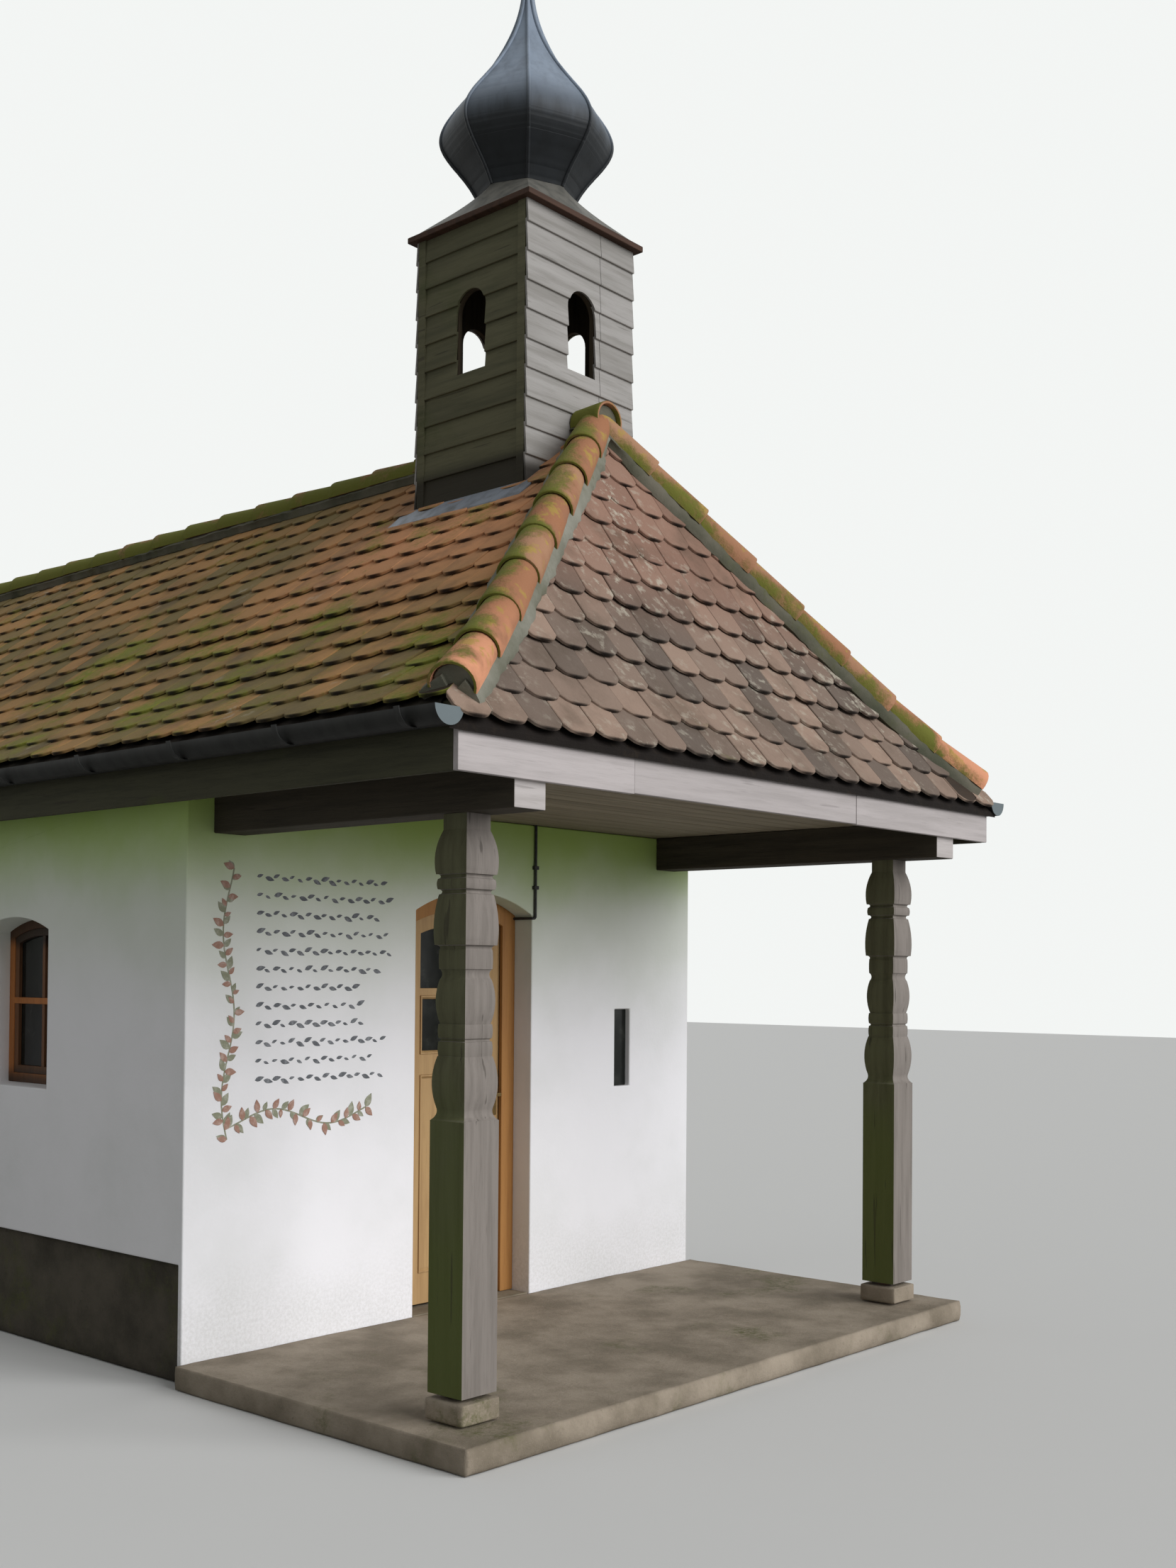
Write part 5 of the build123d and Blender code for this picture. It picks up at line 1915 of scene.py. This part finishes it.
@dataclass
class Porch:
    """Slab, carved posts on their blocks, plates, fascias, boarded ceilings and gutters."""

    plank: float = 0.118
    groove: float = 0.006
    fascia_joints: tuple[float, float] = (-0.92, 0.62)
    fascia_top: float = 2.526
    fascia_lean: tuple[float, float] = (0.566, 0.824)
    strap: tuple[float, float] = (0.0665, 0.0640)
    strap_half: float = 0.014
    strap_gap: float = 0.62
    strap_inset: float = 0.15

    def planking(self) -> Pattern:
        """Make the tree that lays planks side by side.

        Returns:
            The tree.
        """
        tree = Pattern("planking")
        count, _ = tree.sizes("Int", "Count", "Seed")
        (pitch,) = tree.sizes("Float", "Pitch")
        (plank,) = tree.sizes("Object", "Plank")
        sag = tree.point(0.0, 0.0, tree.chance(0.0, 0.0018, 1.0))
        points = tree.moved(tree.row(count, tree.point(0.0, pitch, 0.0)), Offset=sag)
        return tree.place(tree.toned(points, tree.chance(0.0, 1.0, 2.0)), tree.shape(plank))

    def panel(
        self, form: Form, tree: Pattern, low: Vector, high: Vector, lengthways: bool, finish: Finish
    ) -> None:
        """Board a flat box over with planks.

        Args:
            form: Mesh that gets the planks.
            tree: Tree that lays them.
            low: Lowest corner of the box.
            high: Highest corner of the box.
            lengthways: Whether the planks run along Y and not along X.
            finish: Their finish.
        """
        size = high - low
        long, wide = (size.y, size.x) if lengthways else (size.x, size.y)
        count = max(1, round(wide / self.plank))
        pitch = wide / count
        half = (pitch - self.groove) / 2
        board = bmesh.new()
        block(board, (-long / 2, -half, 0.002 - size.z), (long / 2, half, 0.0))
        plank = carrier(eased(as_mesh("plank", board), 0.0025, 1))
        seed = int(abs(low.y) * 90) + count
        values = {"Count": count, "Pitch": pitch, "Seed": seed, "Plank": plank, "Finish": finish}
        mesh = tree.run("planks", values)
        middle = (low + high) / 2
        turn = Matrix.Rotation(math.pi / 2, 4, "Z") if lengthways else Matrix.Identity(4)
        start = Matrix.Translation((0, -wide / 2 + pitch / 2, 0))
        mesh.transform(Matrix.Translation((middle.x, middle.y, high.z - 0.002)) @ turn @ start)
        form.from_mesh(mesh)
        drop(plank)

    def ceilings(self) -> None:
        """Board the porch ceiling and the soffits."""
        tree = self.planking()
        boards = Timber(
            "ceiling_boards", Grain.X, paint(148, 138, 118), paint(106, 97, 80), cracks=0.3
        ).build()
        along = Timber("soffit_boards", Grain.Y, paint(82, 76, 62), paint(52, 48, 38), cracks=0.3).build()
        for node, finish in (("porch_ceiling", boards), ("soffit_rear", boards), ("soffit_sides", along)):
            form = bmesh.new()
            low, high = extent(node)
            boxes = [(low, high)]
            if finish is along:
                inner = min(vert.co.x for vert in NODES[node].data.vertices if vert.co.x > 0)
                boxes = [(low, Vector((-inner, high.y, high.z))), (Vector((inner, low.y, low.z)), high)]
            for near, far in boxes:
                self.panel(form, tree, near, far, finish is along, finish)
            planks = as_mesh(node, form, 25.0)
            piece(f"{node}_boards", planks, finish, stands_for=[node], slot="weathered_wood")

    def fascias(self) -> None:
        """Make the front and rear boards from three lengths each, and ease the others."""
        bleached = Timber(
            "bleached_boards", Grain.X, paint(184, 177, 176), paint(152, 146, 144), cracks=0.2
        ).build()
        gloomy = Timber(
            "gloomy_boards", Grain.Y, paint(68, 67, 51), paint(38, 38, 28), moss_share=0.4, cracks=0.4
        ).build()
        for node in ("fascia_front", "fascia_rear"):
            low, high = extent(node)
            form = bmesh.new()
            tones = form.verts.layers.float.new("tone")
            left, right = self.fascia_joints
            for start, stop, back, tone in (
                (low.x, left - 0.001, 0.0, 0.15),
                (left + 0.001, right - 0.001, 0.002, 0.75),
                (right + 0.001, high.x, 0.0005, 0.4),
            ):
                for vert in block(form, (start, low.y + back, low.z + back * 1.5), (stop, high.y, high.z)):
                    vert[tones] = tone
            out, face = (1, high.y) if low.y > 0 else (-1, low.y)
            along, up = self.fascia_lean
            cut_away(form, (0.0, face, self.fascia_top), (0.0, out * along, up))
            boards = eased(as_mesh(node, form), 0.003)
            piece(f"{node}_boards", boards, bleached, stands_for=[node], slot="weathered_wood")
        ease_node("fascia_sides", 0.003, gloomy, "dark_wood")

    def frame(self) -> None:
        """Make the posts, their feet and the plates on them."""
        silver = Timber(
            "silvered_wood", Grain.Z, paint(132, 125, 119), paint(102, 96, 90),
            shady=paint(98, 98, 74), moss=paint(88, 98, 44), moss_share=0.15, cracks=0.5,
        ).build()
        smoked = Timber("smoked_wood", Grain.Y, paint(66, 60, 50), paint(36, 34, 28), cracks=0.5).build()
        for node in ("post_left", "post_right"):
            post = eased(node_mesh(node), 0.004, 2, 20.0)
            piece(f"{node}_carved", post, silver, stands_for=[node], slot="weathered_wood")
        plates = eased(node_mesh("porch_plates"), 0.005)
        sawn = Timber("sawn_ends", Grain.X, paint(186, 180, 178), paint(150, 144, 140), cracks=0.3).build()
        for face in plates.polygons:
            face.material_index = int(face.normal.y < -0.7 and face.center.y < -3.5)
        piece("porch_plates_eased", plates, smoked, sawn, stands_for=["porch_plates"], slot="dark_wood")
        iron = PlainPaint("shoe_iron", paint(70, 66, 62), paint(104, 74, 54), 0.7, 0.3).build()
        ease_node("post_shoes", 0.003, iron, "iron")
        stone = Mortar(
            "worn_concrete", paint(162, 150, 134), paint(124, 114, 99),
            grain=42.0, lumps=0.007, moss_share=0.35,
        ).build()
        wear_node("post_blocks", 0.012, 0.006, stone, "concrete")
        wear_node("porch_slab", 0.020, 0.008, stone, "concrete")

    def strapping(self) -> Pattern:
        """Make the tree that sets straps in a row.

        Returns:
            The tree.
        """
        tree = Pattern("gutter_straps")
        (count,) = tree.sizes("Int", "Count")
        (pitch,) = tree.sizes("Float", "Pitch")
        (strap,) = tree.sizes("Object", "Strap")
        return tree.place(tree.row(count, tree.point(0.0, pitch, 0.0)), tree.shape(strap))

    def gutters(self) -> None:
        """Dress the gutters and hang them in straps."""
        caps = paint(98, 108, 111)
        zinc = SheetMetal("gutter_sheet", paint(36, 36, 34), paint(22, 22, 20), caps=caps).build()
        band = SheetMetal("strap_sheet", paint(52, 53, 52), paint(34, 34, 32), roughness=0.6).build()
        dress("gutters", zinc)
        turns = [math.pi + math.pi * step / 12 for step in range(13)]
        outer, inner = self.strap
        arcs = [(outer, turn) for turn in turns] + [(inner, turn) for turn in reversed(turns)]
        outline = [(size * math.cos(turn), size * math.sin(turn)) for size, turn in arcs]
        form = bmesh.new()
        reach = self.strap_half
        ends = [ring(form, ((x, y, z) for x, z in outline)) for y in (-reach, reach)]
        skin(form, ends)
        for end in ends:
            ladder(form, end)
        strap = carrier(as_mesh("strap", form, 40.0))
        low, high = extent("gutters")
        run, radius = high.y - low.y, (high.z - low.z) / 2
        number = round(run / self.strap_gap)
        pitch = (run - 2 * self.strap_inset) / (number - 1)
        values = {"Count": number, "Pitch": pitch, "Strap": strap, "Finish": band}
        tree = self.strapping()
        both = bmesh.new()
        for side in (-1, 1):
            straps = tree.run("straps", values)
            start = (side * (high.x - radius), low.y + self.strap_inset, high.z)
            straps.transform(Matrix.Translation(start))
            both.from_mesh(straps)
        piece("gutter_straps", as_mesh("straps", both, 40.0), band, slot="zinc_sheet")
        drop(strap)

    def build(self) -> None:
        """Make every part of the porch and the eaves."""
        self.frame()
        self.fascias()
        self.ceilings()
        self.gutters()


@dataclass
class Doorway:
    """Plank door with a glazed upper light and a panel, in its frame, with its ironwork."""

    bead: float = 0.016
    bead_proud: float = 0.006
    light: Box = (-0.2355, 0.2275, 1.306, 1.587)
    panel: Box = (-0.2355, 0.2275, 0.260, 1.206)
    face: float = -1.771

    def beading(self, form: Form, opening: Box) -> None:
        """Add a mitred moulding inside a rectangular opening of the leaf.

        Args:
            form: Mesh that gets it.
            opening: Left, right, foot and top of the opening.
        """
        left, right, low, high = opening
        foot, top = 0.004, -self.bead_proud
        profile = ((0.0, foot), (0.0, top), (self.bead * 0.45, top), (self.bead, foot))
        corners = ((left, low, 1, 1), (right, low, -1, 1), (right, high, -1, -1), (left, high, 1, -1))
        rings = [
            ring(form, ((x + dx * inset, self.face + out, z + dz * inset) for inset, out in profile))
            for x, z, dx, dz in corners
        ]
        skin(form, rings, closed=True)

    def build(self) -> None:
        """Make the frame, the leaf and what is on them."""
        orange = Timber(
            "frame_varnish", Grain.Z, paint(164, 116, 62), paint(134, 88, 44),
            cracks=0.2, gloss=0.35, roughness=0.55,
        ).build()
        honey = Timber(
            "leaf_varnish", Grain.Z, paint(180, 147, 101), paint(150, 116, 76),
            cracks=0.2, gloss=0.35, roughness=0.5,
        ).build()
        iron = PlainPaint("black_iron", paint(44, 42, 40), paint(80, 70, 60), 0.45, 0.6).build()
        brass = PlainPaint("worn_brass", paint(120, 98, 58), paint(78, 66, 48), 0.4, 0.8).build()
        ease_node("door_frame", 0.003, orange, "door_wood")
        ease_node("door_leaf", 0.0025, honey, "door_wood", DOOR)
        form = bmesh.new()
        for opening in (self.light, self.panel):
            self.beading(form, opening)
        piece("door_beading", as_mesh("beading", form, 30.0), honey, body=DOOR, slot="door_wood")
        ease_node("door_handle", 0.002, brass, "iron", DOOR)
        ease_node("door_hinge_eyes", 0.001, iron, "iron", DOOR)
        ease_node("door_hinge_pins", 0.001, iron, "iron")
        dress("door_glass", PaneGlass().build())
        stone = Mortar("threshold_stone", paint(140, 130, 112), paint(100, 92, 78), grain=46.0, lumps=0.004)
        wear_node("door_threshold", 0.010, 0.003, stone.build(), "concrete", lumps=9.0)
        dress("door_cable", PlainPaint("cable_rubber", paint(28, 28, 28), paint(48, 46, 44)).build())


@dataclass
class Windows:
    """Side windows with a sash and an upright bar each, and the slit beside the door."""

    bar: float = 0.024
    bar_depth: float = 0.018
    sash: float = 0.036
    frame_face: float = 0.045
    frame_depth: float = 0.050
    crossbar: float = 0.030
    centres: tuple[float, float] = (-0.550, 2.120)
    width: float = 0.600
    foot: float = 1.160
    spring: float = 1.880
    rise: float = 0.060

    def arch(self, inset: float) -> list[tuple[float, float]]:
        """Draw the outline of an opening.

        Args:
            inset: How far it is drawn in.

        Returns:
            Its distances along Y and heights.
        """
        half = self.width / 2
        radius = (half**2 + self.rise**2) / (2 * self.rise)
        centre = self.spring + self.rise - radius
        reach = half - inset
        across = [reach * (1 - step / 6) for step in range(13)]
        curve = [(y, centre + math.sqrt((radius - inset) ** 2 - y * y)) for y in across]
        return [(-reach, self.foot + inset), (reach, self.foot + inset), *curve]

    def band(self, form: Form, y: float, spans: tuple[float, float], insets: tuple[float, float]) -> None:
        """Add a closed band that follows the opening.

        Args:
            form: Mesh that gets it.
            y: Middle of the window.
            spans: Distances along X between which it lies.
            insets: How far its two edges lie inside the opening.
        """
        wide, narrow = self.arch(insets[0]), self.arch(insets[1])
        back, front = spans
        section = ((back, wide), (front, wide), (front, narrow), (back, narrow))
        rings = [ring(form, ((x, y + across, z) for across, z in shape)) for x, shape in section]
        skin(form, rings, closed=True)

    def joinery(self) -> tuple[Form, Form]:
        """Make the frames with their crossbars, and the sashes with their upright bars.

        Returns:
            Frames and sashes.
        """
        frames, sashes = bmesh.new(), bmesh.new()
        outer, glazed = extent("window_frames")[1].x, extent("window_glass")[1].x
        low, high = self.foot + self.frame_face, self.spring + self.rise - self.frame_face
        middle = (self.foot + self.spring + self.rise) / 2
        half = self.width / 2 - self.frame_face
        across, upright = self.crossbar / 2, self.bar / 2
        back = outer - self.frame_depth
        for side in (-1, 1):
            for y in self.centres:
                self.band(frames, y, (side * back, side * outer), (0.0, self.frame_face))
                near, far = sorted((side * (back + 0.001), side * (outer - 0.001)))
                foot = (near, y - half - 0.005, middle - across)
                block(frames, foot, (far, y + half + 0.005, middle + across))
                insets = (self.frame_face, self.frame_face + self.sash)
                self.band(sashes, y, (side * glazed, side * (glazed + self.bar_depth)), insets)
                near, far = sorted((side * (glazed + 0.001), side * (glazed + self.bar_depth - 0.002)))
                foot = (near, y - upright, low + self.sash - 0.005)
                block(sashes, foot, (far, y + upright, high - self.sash + 0.004))
        return frames, sashes

    def build(self) -> None:
        """Make the frames, sashes and bars, and glaze the openings."""
        # Painted shade near black at the heads and feet of frames and sashes, where the reveals shade them.
        varnish = Timber(
            "window_varnish", Grain.Z, paint(178, 112, 58), paint(132, 82, 44),
            cracks=0.3, gloss=0.3, roughness=0.6, unshaded_span=(1.25, 1.80),
        ).build()
        stain = Timber(
            "sash_stain", Grain.Z, paint(112, 76, 50), paint(78, 54, 38),
            cracks=0.3, gloss=0.25, roughness=0.6, unshaded_span=(1.27, 1.78),
        ).build()
        frames, sashes = self.joinery()
        frame_mesh = eased(as_mesh("frames", frames, 25.0), 0.003)
        piece("window_frames_eased", frame_mesh, varnish, stands_for=["window_frames"], slot="door_wood")
        sash_mesh = eased(as_mesh("sashes", sashes, 25.0), 0.002, 1)
        piece("window_sashes", sash_mesh, stain, slot="door_wood")
        pane = PaneGlass("window_pane").build()
        dress("window_glass", pane)
        dress("slit_glass", pane)


@dataclass
class Studio:
    """Pale floor, soft light from the front right, and the camera of the photograph."""

    image: tuple[int, int] = (1659, 2212)
    focal: float = 2281.0
    principal: tuple[float, float] = (829.5, 1331.0)
    stand: Point = (-5.5375, -7.507, 1.70)
    turn: tuple[float, float, float] = (48.65, 1.06, 0.44)
    sensor: float = 36.0
    sky: float = 0.30
    bright_sky: float = 0.93
    sun: float = 2.85
    sun_angle: float = 52.0
    sun_turn: tuple[float, float] = (12.0, 24.0)

    def camera(self) -> None:
        """Stand the camera where the photograph was taken from."""
        width, height = self.image
        data = bpy.data.cameras.new("camera")
        data.sensor_fit, data.sensor_width = "AUTO", self.sensor
        data.lens = self.sensor * self.focal / height
        data.shift_x = (width / 2 - self.principal[0]) / height
        data.shift_y = (self.principal[1] - height / 2) / height
        data.clip_end = 200.0
        camera = linked("camera", data)
        yaw, pitch, roll = (math.radians(angle) for angle in self.turn)
        camera.matrix_world = (
            Matrix.Translation(self.stand)
            @ Matrix.Rotation(-yaw, 4, "Z")
            @ Matrix.Rotation(math.pi / 2 + pitch, 4, "X")
            @ Matrix.Rotation(roll, 4, "Z")
        )
        bpy.context.scene.camera = camera

    def floor(self) -> None:
        """Lay the plain floor."""
        form = bmesh.new()
        bmesh.ops.create_grid(form, x_segments=1, y_segments=1, size=40.0)
        mesh = stored(form, bpy.data.meshes.new("floor"))
        graph = ShaderGraph("floor")
        seen = graph.tree.nodes.new("ShaderNodeLightPath").outputs["Is Camera Ray"]
        colour = graph.mix(seen, (0.42, 0.42, 0.41), (0.72, 0.72, 0.71))
        mesh.materials.append(graph.coat(colour, 0.9, Specular_IOR_Level=0.1))
        floor = linked("floor", mesh)

    def light(self) -> None:
        """Hang a wide soft sun and an even sky that looks brighter than it lights."""
        data = bpy.data.lights.new("sun", "SUN")
        data.energy, data.angle = self.sun, math.radians(self.sun_angle)
        data.color = (0.985, 0.985, 0.995)
        aside, rise = (math.radians(angle) for angle in self.sun_turn)
        flat = math.cos(rise)
        towards = Vector((math.sin(aside) * flat, -math.cos(aside) * flat, math.sin(rise)))
        linked("sun", data).rotation_euler = towards.to_track_quat("Z", "Y").to_euler()
        world = bpy.data.worlds.new("sky")
        world.use_nodes = True
        sums = Sums()
        sums.tree = world.node_tree
        rays = world.node_tree.nodes.new("ShaderNodeLightPath").outputs
        seen = sums.calc("MAXIMUM", rays["Is Camera Ray"], rays["Is Glossy Ray"])
        blend = world.node_tree.nodes.new("ShaderNodeMix")
        blend.data_type = "FLOAT"
        sums.put(blend.inputs[0], sums.calc("MAXIMUM", seen, rays["Is Transmission Ray"]))
        blend.inputs[2].default_value, blend.inputs[3].default_value = self.sky, self.bright_sky
        background = world.node_tree.nodes["Background"].inputs
        sums.put(background["Strength"], blend.outputs[0])
        sums.put(background["Color"], (0.965, 0.985, 0.97))
        bpy.context.scene.world = world

    def build(self) -> None:
        """Set up the whole studio."""
        bpy.context.scene.view_settings.view_transform = "Standard"
        self.floor()
        self.light()
        self.camera()


def main() -> None:
    """Build the chapel piece by piece in its studio."""
    logging.basicConfig(level=logging.INFO, format="%(name)s: %(message)s")
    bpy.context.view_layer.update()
    Studio().build()
    roof = RoofForm()
    for part in (TiledSlopes(roof), HipTiles(roof), Turret(), Dome(), Walls(), Porch(), Doorway(), Windows()):
        part.build()
    bpy.context.view_layer.update()


if __name__ == "__main__":
    main()
